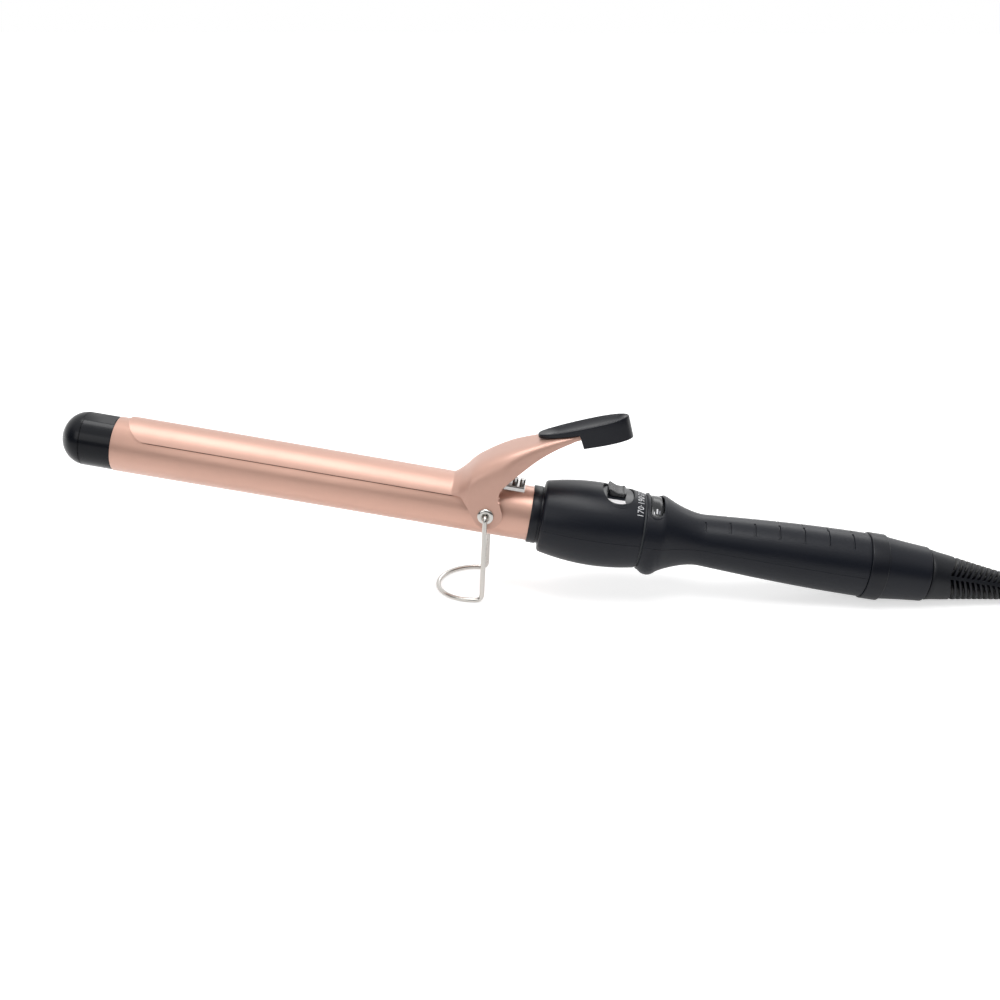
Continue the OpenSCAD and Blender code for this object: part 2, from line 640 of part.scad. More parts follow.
function housing_radius(s) = housing_r - housing_crown * pow((s - widest_s) / 20, 2);
function housing_front_r() = housing_radius(cup_s);
front_lip = 1.6;
function housing_profile() = concat([[0, housing_s], [housing_front_r() - front_lip, housing_s],
    [housing_front_r() - 0.45, housing_s + 0.75]],
    [for (i = [0:14]) let (s = cup_s + (shoulder_s - 0.4 - cup_s) * i / 14) [housing_radius(s), s]],
    [[housing_radius(shoulder_s) - 0.4, shoulder_s], [0, shoulder_s]]);
function housing_cavity() = let (front = housing_s + shell) concat(
    [[0, front], [housing_radius(front) - shell, front]],
    [for (i = [1:10]) let (s = front + (shoulder_s - front) * i / 10) [housing_radius(s) - shell, s]],
    [[0, shoulder_s]]);
housing_ribs = [30.4, 37.6];
rib_t = 1.6;
seam_notch = 0.3;
module housing_half(from) {
    cup_r = housing_front_r() - shell - 0.4;
    difference() {
        union() {
            difference() {
                turned(housing_profile(), from, 180);
                turned(concat(housing_cavity(), [[0, shoulder_s + 1]]), from - 1, 182);
            }
            for (s = housing_ribs) ring(s, rib_t, housing_radius(s) - 1, cup_r + slip_fit, from, 180);
        }
        ring(housing_s - 1, shell + 2, barrel_r + heat_collar_h + 0.3);
        seam_groove(housing_s - 1, shoulder_s + 1, housing_r);
    }
}
// Fine line along the joint of two shell halves
module seam_groove(s, end, r) {
    for (side = [0, 1]) mirror([0, side, 0])
        box([s, r - seam_notch * 2, -seam_notch / 2], [end, r + 3, seam_notch / 2]);
}
// Oval outline of the dish, its size less a margin on each side
function oval(margin) = [for (i = [0:47]) let (a = 7.5 * i)
    [switch_s + (dish_len / 2 - margin) * signed_power(cos(a), 0.86),
        (dish_w / 2 - margin) * signed_power(sin(a), 0.86)]];
dish_r = 44.7;
dish_z = housing_radius(switch_s) - dish_depth;
module dish_floor(depth) {
    translate([switch_s - dish_len, 0, dish_z - dish_r - depth]) rotate([0, 90, 0])
        cylinder(r = dish_r, h = 2 * dish_len);
}
module housing_upper() {
    color("#232427") on_handle() difference() {
        housing_half(90);
        translate([0, 0, tube_in]) linear_extrude(housing_r) polygon(oval(0));
        translate([0, 0, 5]) linear_extrude(dish_z - 8.2) polygon(oval(-1.4));
    }
}
module housing_lower() {
    color("#222326") on_handle() difference() {
        union() {
            housing_half(-90);
            for (s = frame_screws) intersection() {
                radially(s, 180) translate([0, 0, journal_r + slip_fit]) cylinder(r = boss_r, h = 8);
                turned(housing_profile());
            }
        }
        for (s = frame_screws) screw_hole(s, housing_radius(s), journal_r);
    }
}
head_t = 1.5;
head_sink = 1.4;
module screw_hole(s, outer, inner) {
    radially(s, 180) {
        translate([0, 0, inner - 2]) cylinder(r = screw_r + slip_fit, h = outer - inner + 4);
        translate([0, 0, outer - head_sink - head_t]) cylinder(r = screw_head_r + slip_fit, h = 9);
    }
}
module screw(s, outer, tip) {
    head = outer - head_sink - head_t;
    radially(s, 180) difference() {
        union() {
            translate([0, 0, tip]) cylinder(r = screw_r, h = head - tip + 0.1);
            translate([0, 0, head]) cylinder(r = screw_head_r, h = head_t);
        }
        translate([0, 0, head + head_t]) rotate([180, 0, 0]) cross_recess(0, 0.8);
    }
}
module case_screws() {
    color("#8b8e92") on_handle() {
        for (s = frame_screws) screw(s, housing_radius(s), tube_in + 0.5);
        screw(grip_screw_s, grip_radius(grip_screw_s), -5);
    }
}

function grip_radius(s) = s < waist_s
    ? waist_r + (collar_r - waist_r - 0.1) * pow(max(1 - (s - collar_end + 0.2) / (flare_len + 0.2), 0), 1.7)
    : waist_r + grip_swell * sin(min(90 * (s - waist_s) / (grip_len - 2.4), 92));
function grip_curve(inset) = concat(
    [for (i = [0:12]) let (s = collar_end + flare_len * i / 12) [grip_radius(s) - inset, s]],
    [for (i = [1:10]) let (s = waist_s + grip_len * i / 10) [grip_radius(s) - inset, s]]);
edge = 0.4;
function grip_profile() = concat([[0, grip_s], [collar_r - edge, grip_s], [collar_r, grip_s + edge],
    [collar_r, collar_end - edge]], grip_curve(0), [[0, band_s]]);
// The lobe under the collar: arcs about an axis that lies lower, meeting the collar at mid height
lobe_s = grip_s + 5;
function lobe_radius(s) = norm([collar_r, lobe_drop]) - 2.4 * pow(abs(s - lobe_s) / 4.4, 2.2);
function lobe_profile() = concat([[0, grip_s]], [for (i = [0:12]) let (s = grip_s + 12 * i / 12)
    [lobe_radius(s), s]], [[0, grip_s + 12]]);
seat_len = 4.4;
module grip_half(from) {
    difference() {
        union() {
            turned(grip_profile(), from, 180);
            if (from < 0) intersection() {
                translate([0, 0, -lobe_drop]) turned(lobe_profile());
                box([grip_s, -30, -30], [band_s, 30, 0]);
            }
        }
        // room for the shoulder and the temperature ring
        ring(grip_s - 1, 2, collar_r - 1.25 + slip_fit);
        ring(grip_s + 1, cavity_end - grip_s - 1, dial_r + 0.3);
        ring(cavity_end - 1, disc_t + 1.2, journal_r + slip_fit);
        // inside of the grip, with a seat for the frame's ring at its end
        turned(concat([[0, cavity_end + 1.5], [journal_r, cavity_end + 1.5]],
            [for (p = grip_curve(shell - 0.2)) if (p[1] > cavity_end + 2 && p[1] < band_s - seat_len) p],
            [[ring_r + slip_fit, band_s - seat_len], [ring_r + slip_fit, band_s + 1], [0, band_s + 1]]));
        seam_groove(grip_s - 1, collar_end, collar_r);
    }
}
// Angles from the top where each finger groove starts and ends
groove_span = [[25, 43], [18, 42], [13, 41], [9, 41], [6, 42], [4, 40], [7, 39]];
module finger_grooves() {
    for (i = [0:6], side = [1, -1]) let (s = waist_s + groove_pitch * i, r = grip_radius(s) - groove_depth,
        a = groove_span[i])
        ring(s - groove_w / 2, groove_w, r + 4, r, side > 0 ? 180 + a[0] : 180 - a[1], a[1] - a[0]);
}
window_w = 6.6;
window_s = dial_s + dial_len / 2;
module dial_window() {
    half = collar_r * sin(window_angle) - window_w / 2;
    translate([window_s, 0, 8]) linear_extrude(15)
        polygon(concat(arc([0, half], window_w / 2, 0, 180, 16),
            arc([0, -half], window_w / 2, 180, 360, 16)));
}
module grip_upper() {
    color("#232427") on_handle() difference() {
        union() {
            grip_half(90);
            intersection() {
                translate([grip_screw_s, 0, 0]) cylinder(r = boss_r, h = 20);
                turned(grip_profile());
            }
        }
        dial_window();
        finger_grooves();
        translate([grip_screw_s, 0, -1]) cylinder(r = screw_r, h = 8);
    }
}
module grip_lower() {
    color("#222326") on_handle() difference() {
        union() {
            grip_half(-90);
            intersection() {
                radially(grip_screw_s, 180) cylinder(r = boss_r, h = 20);
                turned(grip_profile());
            }
        }
        screw_hole(grip_screw_s, grip_radius(grip_screw_s), 0);
    }
}
module rear_band() {
    r = ring_r + slip_fit;
    color("#28292c") on_handle() turned([[r, band_s], [band_r - edge, band_s], [band_r, band_s + edge],
        [band_r, cap_s - edge], [band_r - edge, cap_s], [r, cap_s]]);
}
cap_front_r = band_r - 0.8;
function cap_radius(s) = cap_end_r + (cap_front_r - cap_end_r) * pow(1 - (s - cap_s) / cap_len, 1.2);
hub_room_r = hub_disc_r + 1.6;
module rear_cap() {
    r = ring_r + slip_fit;
    color("#26272a") difference() {
        on_handle() turned(concat(
            [[r, cap_s]], [for (i = [0:10]) let (s = cap_s + (cap_len - 0.8) * i / 10) [cap_radius(s), s]],
            [[cap_radius(cap_end - 0.3), cap_end - 0.3], [cap_end_r - 0.5, cap_end],
            [neck_r + run_fit, cap_end], [neck_r + run_fit, cap_end - end_wall],
            [hub_room_r, cap_end - end_wall], [hub_room_r, cap_s + 2.4], [r, cap_s + 2.4]]));
        box([0, -30, -10], [300, 30, 0]);
    }
}

// ---- Switch, lamp and dial ----

stem_w = 3.2;
stem_len = 4;
knob_s = switch_s - slide_travel / 2 - 0.6;
slot_clear = 0.3;
module slider_slot(z0, z1) {
    box([knob_s - stem_len / 2 - slot_clear, -stem_w / 2 - slot_clear, z0],
        [knob_s + stem_len / 2 + slide_travel + slot_clear, stem_w / 2 + slot_clear, z1]);
}
lens_y = -7.2;
module lens_shape(margin) {
    intersection() {
        linear_extrude(30) polygon(oval(0.7 + margin));
        difference() {
            box([switch_s - 6.5 + margin, -20, 0], [switch_s + 4.2 - margin, lens_y - margin, 30]);
            translate([switch_s + 6.4, lens_y - 0.4, 0]) cylinder(r = 3.4 + margin, h = 30);
        }
    }
}
bezel_t = 1.2;
module bezel_plate(t) {
    difference() {
        intersection() {
            translate([0, 0, 8]) linear_extrude(20) polygon(oval(slip_fit));
            dish_floor(0);
        }
        dish_floor(t);
    }
}
module switch_bezel() {
    color("#3a3d41") on_handle() difference() {
        bezel_plate(bezel_t);
        slider_slot(5, 30);
        lens_shape(-slip_fit);
    }
}
module indicator_lens() {
    color("#f4f4f2") on_handle() intersection() {
        bezel_plate(bezel_t);
        lens_shape(0);
    }
}
module power_slider() {
    base = dish_z + free_gap;
    front = dish_z + knob_h;
    back = front - 1.6;
    corner = 1.4;
    half = knob_len / 2;
    side = [[-half, base], [half, base], [half, back - 0.4], [half - 0.5, back], [half - 1.4, back - 0.3],
        [0, (front + back) / 2 - 1.5], [-half + 1.6, front - 0.5], [-half + 0.6, front],
        [-half, front - 0.5]];
    color("#1c1d20") on_handle() translate([knob_s, 0, 0]) {
        intersection() {
            translate([0, knob_w / 2, 0]) rotate([90, 0, 0]) linear_extrude(knob_w) polygon(side);
            translate([0, 0, base]) linear_extrude(10) offset(r = corner, $fn = 32)
                square([knob_len - 2 * corner, knob_w - 2 * corner], center = true);
        }
        box([-stem_len / 2, -stem_w / 2, module_top - 2.4], [stem_len / 2, stem_w / 2, base + 0.6]);
    }
}
module_top = board_z + board_t + 7;
module switch_module() {
    color("#2f5d8a") on_handle() difference() {
        box([switch_s - 6, -4, board_z + board_t], [switch_s + 6.5, 4, module_top]);
        slider_slot(module_top - 3, module_top + 1);
    }
}
module control_board() {
    color("#2f6b3f") on_handle()
        box([board_s, -board_w / 2 + slip_fit, board_z],
            [sensor_s, board_w / 2 - slip_fit, board_z + board_t]);
}
module indicator_lamp() {
    color("#c9443a") on_handle() translate([switch_s - 1, -6.1, board_z + board_t]) {
        cylinder(r = 1.5, h = 4.5);
        translate([0, 0, 4.5]) sphere(1.5, $fn = 48);
    }
}
module dial_sensor() {
    color("#5b6f86") on_handle() ring(sensor_s, sensor_t, sensor_r, shaft_r + run_fit);
}
module temperature_dial() {
    crown = 0.35;
    mid = dial_s + dial_len / 2;
    spoke_half = 1.8;
    color("#2a2b2e") on_handle() {
        turned([[journal_r + run_fit, dial_s], [dial_r - crown, dial_s], [dial_r, dial_s + 1.3],
            [dial_r, dial_s + dial_len - 1.3], [dial_r - crown, dial_s + dial_len],
            [journal_r + run_fit, dial_s + dial_len]]);
        ring(sensor_s + 0.4, cavity_end + disc_t - 0.2 - sensor_s - 0.4, shaft_r);
        ring(sensor_s + sensor_t + free_gap, cavity_end - 2 * free_gap - sensor_s - sensor_t, 3.2);
        rotate([dial_turn / 2, 0, 0])
            box([mid - 0.9, -spoke_half, -journal_r - 1], [mid + 0.9, spoke_half, -2]);
    }
}

// ---- Boards and wiring ----

wire_y = [-6, 6];
wire_z = board_z + board_t + 0.8;
module power_board() {
    color("#2f6b3f") on_handle() box([power_s, -power_w / 2, 0], [power_s + power_len, power_w / 2, board_t]);
}
module board_parts() {
    top = board_t;
    color("#45484d") on_handle() {
        box([power_s + 0.6, -7.4, top], [power_s + 4, 7.4, wire_z + 1]);
        translate([power_s + 10, 3, top + 3]) rotate([0, 90, 0]) cylinder(r = 3, h = 11);
        box([power_s + 26, -5, top], [power_s + 38, 5, top + 5.4]);
        box([power_s + 43, -6, top], [power_s + 47, -1, top + 6]);
        box([power_s + 43, 1, top], [power_s + 52, 6, top + 2.4]);
        for (s = [9, 14, 19]) box([power_s + s, -6.5, top], [power_s + s + 3, -3.5, top + 1.6]);
        box([switch_s - 5, 5, board_z + board_t], [switch_s - 1, 9, board_z + board_t + 1.1]);
        box([switch_s + 1.5, 5, board_z + board_t], [switch_s + 5, 9, board_z + board_t + 1.8]);
    }
}
module board_wires() {
    color("#c23b32") on_handle() for (y = wire_y) translate([shoulder_s - 4.6, y, wire_z]) rotate([0, 90, 0])
        cylinder(r = 0.75, h = power_s + 0.6 - shoulder_s + 4.6);
}
module brush_contacts() {
    end = power_s + power_len;
    z = strip_z + strip_t / 2;
    low = strip_z + 1.2;
    color("#cfa75a") on_handle() {
        bent_strip([[end - 4, board_t + strip_t / 2], [end - 2.4, board_t + strip_t / 2],
            [end - 1.6, board_t + 0.6],
            [end - 0.9, z - 0.5], [end, z], [bearing_s + 6, z]], strip_t, 4);
        bent_strip([[end - 4, -strip_t / 2], [end - 2.4, -strip_t / 2], [end - 1.6, -0.6],
            [end - 0.9, -low + 0.5], [end, -low], [bearing_s + 9, -low]], strip_t, 4);
    }
}

// ---- Turning cord boot ----

slip_ring_t = 2;
slip_ring_s = bearing_s + bearing_t + 1.5;
module swivel_hub() {
    color("#2d2f33") on_handle() {
        ring(bearing_s + free_gap, hub_disc_s - bearing_s - free_gap + 0.1, spindle_r);
        ring(hub_disc_s, hub_disc_t, hub_disc_r);
        ring(hub_disc_s + hub_disc_t - 0.1, end_wall + 4.4, neck_r);
    }
}
module slip_rings() {
    color("#d3a64e") on_handle() {
        ring(slip_ring_s, slip_ring_t, strip_z - 0.15, spindle_r);
        ring(slip_ring_s + 3, slip_ring_t, strip_z + 0.85, spindle_r);
    }
}
// Boot: a dome behind the cap, then a tapering tail
dome_len = 9.5;
function boot_radius(s) = let (x = s - boot_s) x < dome_len
    ? cap_end_r - 0.25 - 1.9 * pow(x / dome_len, 0.6)
    : boot_end_r + (cap_end_r - 2.15 - boot_end_r) * pow(1 - (x - dome_len) / (boot_len - dome_len), 1.25);
spine_w = 3;
spine_angle = 65;
rib_first = 12;
function rib_count() = floor((boot_len - rib_first - 3) / rib_pitch);
function core_radius(s) = boot_end_r - 0.6 + (boot_radius(s) - boot_end_r) * 0.35;
module strain_relief() {
    dome = [for (x = [0, 0.5, 1.5, 3, 5, 7]) [boot_radius(boot_s + x), boot_s + x]];
    slots = [for (i = [0:rib_count() - 1]) boot_s + rib_first + rib_pitch * i];
    ribs = [for (s = slots) each [[boot_radius(s), s], [core_radius(s), s],
        [core_radius(s + rib_slot), s + rib_slot], [boot_radius(s + rib_slot), s + rib_slot]]];
    spine = [for (i = [0:12]) let (s = slots[0] - 0.5 + (boot_end - slots[0] - 1) * i / 12)
        [boot_radius(s) - 0.15, s]];
    color("#1a1b1d") on_handle() difference() {
        union() {
            turned(concat([[0, boot_s], [cap_end_r - 0.8, boot_s]], dome,
                [[boot_radius(boot_s + dome_len), boot_s + dome_len]], ribs,
                [[boot_end_r, boot_end], [0, boot_end]]));
            intersection() {
                turned(concat([[0, slots[0] - 0.5]], spine, [[0, boot_end - 1.5]]));
                rotate([spine_angle, 0, 0]) box([boot_s, -spine_w / 2, -20], [boot_end, spine_w / 2, 20]);
            }
        }
        ring(boot_s - 1, hub_disc_s + hub_disc_t + end_wall + 4.3 - boot_s + 1, neck_r);
    }
}

// ---- Cord and plug ----

// Chosen points of the free cord: into the hank's lowest turn, and from its highest down to the plug
cord_route = [[241, -3, 3.1], [248.5, -10, 3.1], [255.5, -16.8, 3.2], [264, -20.4, 3.5], [273, -21, 3.8]];
lead_route = [[339, -21, 21.8], [349, -21, 21.4], [358, -20.5, 19.4], [368, -18.6, 14.4], [378, -15, 8.8],
    [389, -10.4, 5.4], [400, -6.6, 5.2], [410, -4.4, 6.2], [418, -4, 6.85]];
// The hank is two turns wide and four high, and its tie draws it in; these are its inner turn's sizes
hank_at = [306, 0];
hank_reach = 33;
hank_bend = 15;
hank_waist = 5;
hank_w = 2 * cord_d;
hank_h = 4 * cord_d;
tie_t = 0.8;
tie_w = 8;
plug_at = [418, -4, 6.85];
plug_len = 35;
plug_w = 35.3;
plug_h = 13.7;
pin_d = 4;
pin_len = 19;
pin_pitch = 18.6;
pin_root = 6;
function ring_about(p, dir, r, n) = let (d = unit(dir), a = unit(cross([0, 0, 1], d)), b = cross(d, a))
    [for (i = [0:n - 1]) p + r * (cos(360 * i / n) * a + sin(360 * i / n) * b)];
function tube_rings(route, r, first_dir, last_dir) = let (last = len(route) - 1)
    [for (i = [0:last]) ring_about(route[i],
        i == 0 ? first_dir : i == last ? last_dir : route[i + 1] - route[i - 1], r, 12)];
module power_cord() {
    exit_dir = handle_point(boot_end) - handle_point(boot_end - 1);
    route = concat([handle_point(boot_end), handle_point(boot_end + 8)], cord_route);
    color("#161719") loft(tube_rings(route, cord_r, exit_dir, [1, 0, 0]));
}
function hank_side(x) = hank_bend - (hank_bend - hank_waist) * (1 + cos(180 * x / hank_reach)) / 2;
function hank_run(side) = [for (i = [-10:10]) let (x = side * hank_reach * i / 10) [x, side * hank_side(x)]];
function hank_end(side) = [for (a = [75:-15:-75]) side * [hank_reach + hank_bend * cos(a), hank_bend * sin(a)]];
module hank_outline(grow) {
    offset(delta = grow) polygon(concat(hank_run(1), hank_end(1), hank_run(-1), hank_end(-1)));
}
module cord_hank() {
    color("#18191b") translate([hank_at.x, hank_at.y, tie_t]) linear_extrude(hank_h) difference() {
        hank_outline(hank_w - cord_r);
        hank_outline(-cord_r);
    }
}
module cord_tie() {
    half = hank_side(tie_w / 2) + hank_w - cord_r;
    color("#2a2b2e") translate([hank_at.x, hank_at.y, 0]) difference() {
        rotate([90, 0, 90]) translate([0, 0, -tie_w / 2]) linear_extrude(tie_w) offset(r = tie_t)
            translate([-half, tie_t]) square([2 * half, hank_h]);
        translate([0, 0, tie_t]) linear_extrude(hank_h) hank_outline(hank_w - cord_r);
    }
}
module plug_lead() {
    color("#161719") loft(tube_rings(lead_route, cord_r, [1, 0, 0], [1, 0, 0]));
}
module at_plug() {
    translate(plug_at) rotate([0, 0, -90]) children();
}
module plug_body() {
    half = plug_w / 2;
    plan = [[-cord_r - 1.2, 0], [cord_r + 1.2, 0], [cord_r + 3, 9], [half - 4, 18], [half, 23],
        [half, plug_len], [-half, plug_len], [-half, 23], [-half + 4, 18], [-cord_r - 3, 9]];
    color("#141517") at_plug() difference() {
        translate([0, 0, -plug_h / 2]) linear_extrude(plug_h) polygon(plan);
        for (x = [-0.5, 0.5]) translate([x * pin_pitch, plug_len - pin_root, 0]) rotate([-90, 0, 0])
            cylinder(r = pin_d / 2 - 0.5, h = pin_root + 1);
    }
}
module plug_pins() {
    color("#d9dbde") at_plug() for (x = [-0.5, 0.5]) translate([x * pin_pitch, plug_len, 0])
        rotate([-90, 0, 0]) {
            translate([0, 0, -pin_root]) cylinder(r = pin_d / 2 - 0.5, h = pin_root + 1);
            cylinder(r = pin_d / 2, h = pin_len - 1);
            translate([0, 0, pin_len - 1]) cylinder(r1 = pin_d / 2, r2 = pin_d / 2 - 0.8, h = 1);
        }
}

cool_tip();
barrel_tube();
heater_shoe_upper();
heater_shoe_lower();
heater_element();
temperature_sensor();
thermal_fuse();
heater_leads();
heat_collar();
pivot_rivets();
pivot_washers();
spring_plate();
spring_screws();
lever_spring();
inner_frame();
housing_upper();
housing_lower();
grip_upper();
grip_lower();
case_screws();
rear_band();
rear_cap();
switch_bezel();
indicator_lens();
control_board();
switch_module();
indicator_lamp();
dial_sensor();
power_board();
board_parts();
board_wires();
brush_contacts();
hair_clamp();
thumb_pad();
pad_screw();
wire_stand();
power_slider();
temperature_dial();
swivel_hub();
slip_rings();
strain_relief();
power_cord();
cord_hank();
cord_tie();
plug_lead();
plug_body();
plug_pins();
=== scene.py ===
import math
import bmesh
import bpy
import numpy as np
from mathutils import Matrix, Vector


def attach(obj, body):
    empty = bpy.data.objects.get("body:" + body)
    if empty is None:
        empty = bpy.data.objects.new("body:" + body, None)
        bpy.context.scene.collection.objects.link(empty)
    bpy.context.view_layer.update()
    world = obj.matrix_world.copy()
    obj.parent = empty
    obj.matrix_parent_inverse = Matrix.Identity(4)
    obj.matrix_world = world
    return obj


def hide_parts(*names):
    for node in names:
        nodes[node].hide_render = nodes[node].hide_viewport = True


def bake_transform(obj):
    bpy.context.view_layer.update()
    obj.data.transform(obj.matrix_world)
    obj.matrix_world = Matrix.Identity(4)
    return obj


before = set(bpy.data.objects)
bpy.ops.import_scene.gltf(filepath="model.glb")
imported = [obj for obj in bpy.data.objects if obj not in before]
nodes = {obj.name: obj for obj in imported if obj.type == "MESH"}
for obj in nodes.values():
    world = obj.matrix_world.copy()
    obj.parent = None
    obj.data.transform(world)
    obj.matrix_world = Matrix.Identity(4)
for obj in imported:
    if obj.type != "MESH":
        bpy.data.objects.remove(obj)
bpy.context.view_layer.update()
print("frame loaded:", len(nodes), "nodes")

# Pieces are worked out in millimetres as (station along the axis, across, up) and then put in place;
# the barrel is tilted about the rivets, and the handle is bent a little off the barrel's line
mm = 0.001
stance = {"tilt": 9.0, "bend": 1.0, "bendAt": 32.0, "pivotRise": 1.0, "shiftX": -30.806,
          "pivotHeight": 41.961}


def turnY(points, degrees, centre=(0, 0, 0)):
    # turned about the Y axis through centre: x and z mix by the angle's cosine and sine
    c, s = math.cos(math.radians(degrees)), math.sin(math.radians(degrees))
    p = np.asarray(points, float) - centre
    return np.stack([p[..., 0] * c + p[..., 2] * s, p[..., 1], p[..., 2] * c - p[..., 0] * s], -1) + centre


def onBarrel(points):
    # turned by the tilt about the rivets' line, then moved to where the rivets stand
    turned = turnY(np.asarray(points, float) - (0, 0, stance["pivotRise"]), stance["tilt"])
    return (turned + (stance["shiftX"], 0, stance["pivotHeight"])) * mm


def onHandle(points):
    # turned back by the bend about a point behind the rivets, then placed as the barrel is
    return onBarrel(turnY(points, -stance["bend"], (stance["bendAt"], 0, 0)))


def onTable(points):
    # already upright in the scene's own axes, only in millimetres
    return np.asarray(points, float) * mm


def quadsOf(rows, columns, around=False, along=False):
    # four corners of every cell of a grid, with the last column or row joined to the first where it closes
    index = np.arange(rows * columns).reshape(rows, columns)
    if around:
        index = np.concatenate([index, index[:, :1]], 1)
    if along:
        index = np.concatenate([index, index[:1]], 0)
    return np.stack([index[:-1, :-1], index[:-1, 1:], index[1:, 1:], index[1:, :-1]], -1).reshape(-1, 4)


def sheetOf(grid, around=False, along=False, flip=False):
    # a grid of points as a flat list, with its cells as faces
    grid = np.asarray(grid, float)
    faces = quadsOf(grid.shape[0], grid.shape[1], around, along)
    return grid.reshape(-1, 3), (faces[:, ::-1] if flip else faces).tolist()


def cappedOf(grid):
    # a grid closed around, with a flat face over each end
    verts, faces = sheetOf(grid, around=True)
    rows, columns = np.asarray(grid).shape[:2]
    first = list(range(columns))
    last = [(rows - 1) * columns + i for i in first]
    return verts, faces + [first, last[::-1]]


def distances(line):
    # how far each point lies along its line
    return np.concatenate([[0], np.cumsum(np.linalg.norm(np.diff(line, axis=0), axis=1))])


def leftOf(line, closed=False):
    # unit normals on the left of a flat line: the direction between a point's neighbours, turned a quarter
    along = np.roll(line, -1, 0) - np.roll(line, 1, 0) if closed else np.gradient(line, axis=0)
    return np.stack([-along[:, 1], along[:, 0]], -1) / np.linalg.norm(along, axis=1)[:, None]


def smoothStep(x):
    # 0 to 1 with level ends: three squares less two cubes
    x = np.clip(x, 0, 1)
    return x * x * (3 - 2 * x)


def smoothed(values, times):
    # each inner value becomes a quarter of each neighbour and half of itself, again and again
    for _ in range(times):
        values[1:-1] = (values[:-2] + 2 * values[1:-1] + values[2:]) / 4
    return values


def signedPower(values, power):
    return np.sign(values) * np.abs(values) ** power


def fullTurn(count):
    # angles round a circle, evenly spaced
    return np.arange(count) * 2 * math.pi / count


def roundAxis(s, r, a):
    # the point at station s and radius r; the angle is from the top towards the near side
    return np.stack([s + 0 * r, -r * np.sin(a), r * np.cos(a)], -1)


def superOval(centre, halfS, halfY, power, count=180):
    # an ellipse whose cosine and sine are raised to a power: below 1 it is squarer
    a = fullTurn(count)
    s, y = halfS * signedPower(np.cos(a), power), halfY * signedPower(np.sin(a), power)
    return np.stack([centre + s, y], -1)


def raysTo(outline, centre, angles):
    # how far the outline is from the centre in each direction
    away = outline - centre
    turn = np.arctan2(away[:, 1], away[:, 0])
    order = np.argsort(turn)
    return np.interp(angles, turn[order], np.linalg.norm(away, axis=1)[order], period=2 * math.pi)


def resampled(line, step):
    # extra points along a polyline, so that no stretch is longer than step
    line = np.asarray(line, float)
    far = distances(line)
    fine = np.unique(np.concatenate([far, np.linspace(0, far[-1], int(far[-1] / step) + 2)]))
    return np.stack([np.interp(fine, far, line[:, k]) for k in range(line.shape[1])], -1)


def rounded(corners, steps=5):
    # each corner is (x, y, cut): a quadratic curve from the cut before it to the cut after it
    c = np.array([(*p, 0.0)[:3] for p in corners], float)
    line = []
    for i, (x, y, cut) in enumerate(c):
        here = np.array([x, y])
        if cut == 0 or i in (0, len(c) - 1):
            line.append(here[None])
            continue
        back, fore = c[i - 1, :2] - here, c[i + 1, :2] - here
        start, end = here + back * cut / np.linalg.norm(back), here + fore * cut / np.linalg.norm(fore)
        t = np.linspace(0, 1, steps)[:, None]
        line.append((1 - t) ** 2 * start + 2 * t * (1 - t) * here + t ** 2 * end)
    return np.concatenate(line)


def filleted(corners, radii, steps=9):
    # a path whose corners are true arcs: each starts and ends at radius * tan(half the turn) from its corner
    c = np.array(corners, float)
    line = [c[:1]]
    for before, here, after, radius in zip(c[:-2], c[1:-1], c[2:], radii):
        back, fore = before - here, after - here
        back, fore = back / np.linalg.norm(back), fore / np.linalg.norm(fore)
        turn = math.pi - math.acos(np.clip(back @ fore, -1, 1))
        middle = back + fore
        centre = here + middle / np.linalg.norm(middle) * radius / math.cos(turn / 2)
        start = here + back * radius * math.tan(turn / 2) - centre
        end = here + fore * radius * math.tan(turn / 2) - centre
        t = np.linspace(0, 1, steps)[:, None]
        line.append(centre + (np.sin((1 - t) * turn) * start + np.sin(t * turn) * end) / math.sin(turn))
    return np.concatenate(line + [c[-1:]])


def roundedBox(centre, halfS, halfY, corner, steps=8):
    # a rounded rectangle seen from above, walked anticlockwise
    line = []
    for i, (signS, signY) in enumerate(((1, 1), (-1, 1), (-1, -1), (1, -1))):
        a = np.radians(90 * i + np.linspace(0, 90, steps))
        middle = np.array([centre[0] + signS * (halfS - corner), centre[1] + signY * (halfY - corner)])
        line.append(middle + corner * np.stack([np.cos(a), np.sin(a)], -1))
    line = np.concatenate(line)
    return resampled(np.concatenate([line, line[:1]]), 0.5)[:-1]


def splined(points, perSpan=12):
    # Catmull-Rom curve through the points
    p = np.asarray(points, float)
    p = np.concatenate([[2 * p[0] - p[1]], p, [2 * p[-1] - p[-2]]])
    t = np.linspace(0, 1, perSpan, endpoint=False)[None, :, None]
    a, b, c, d = (p[i:len(p) - 3 + i][:, None] for i in range(4))
    curve = 0.5 * (2 * b + (c - a) * t + (2 * a - 5 * b + 4 * c - d) * t ** 2
                   + (3 * b - a - 3 * c + d) * t ** 3)
    return np.concatenate([curve.reshape(-1, p.shape[1]), p[-2:-1]])


def spun(profile, angles):
    # a profile of (radius, station) turned about the axis
    profile, a = np.asarray(profile, float), np.radians(np.asarray(angles, float))
    return roundAxis(profile[:, 1:2], profile[:, :1] + 0 * a, a)


def turnedOf(profile, columns=96, closed=False):
    # a full turn: closed profiles make a ring, open ones start and end on the axis
    return sheetOf(spun(profile, np.arange(columns) * 360 / columns), around=True, along=closed)


def spunAcross(profile, columns):
    # a profile of (radius, distance) turned about the Y axis
    a = fullTurn(columns)
    r, y = np.array(profile)[:, :1], np.array(profile)[:, 1:2]
    return np.stack([r * np.cos(a), y + 0 * a, r * np.sin(a)], -1)


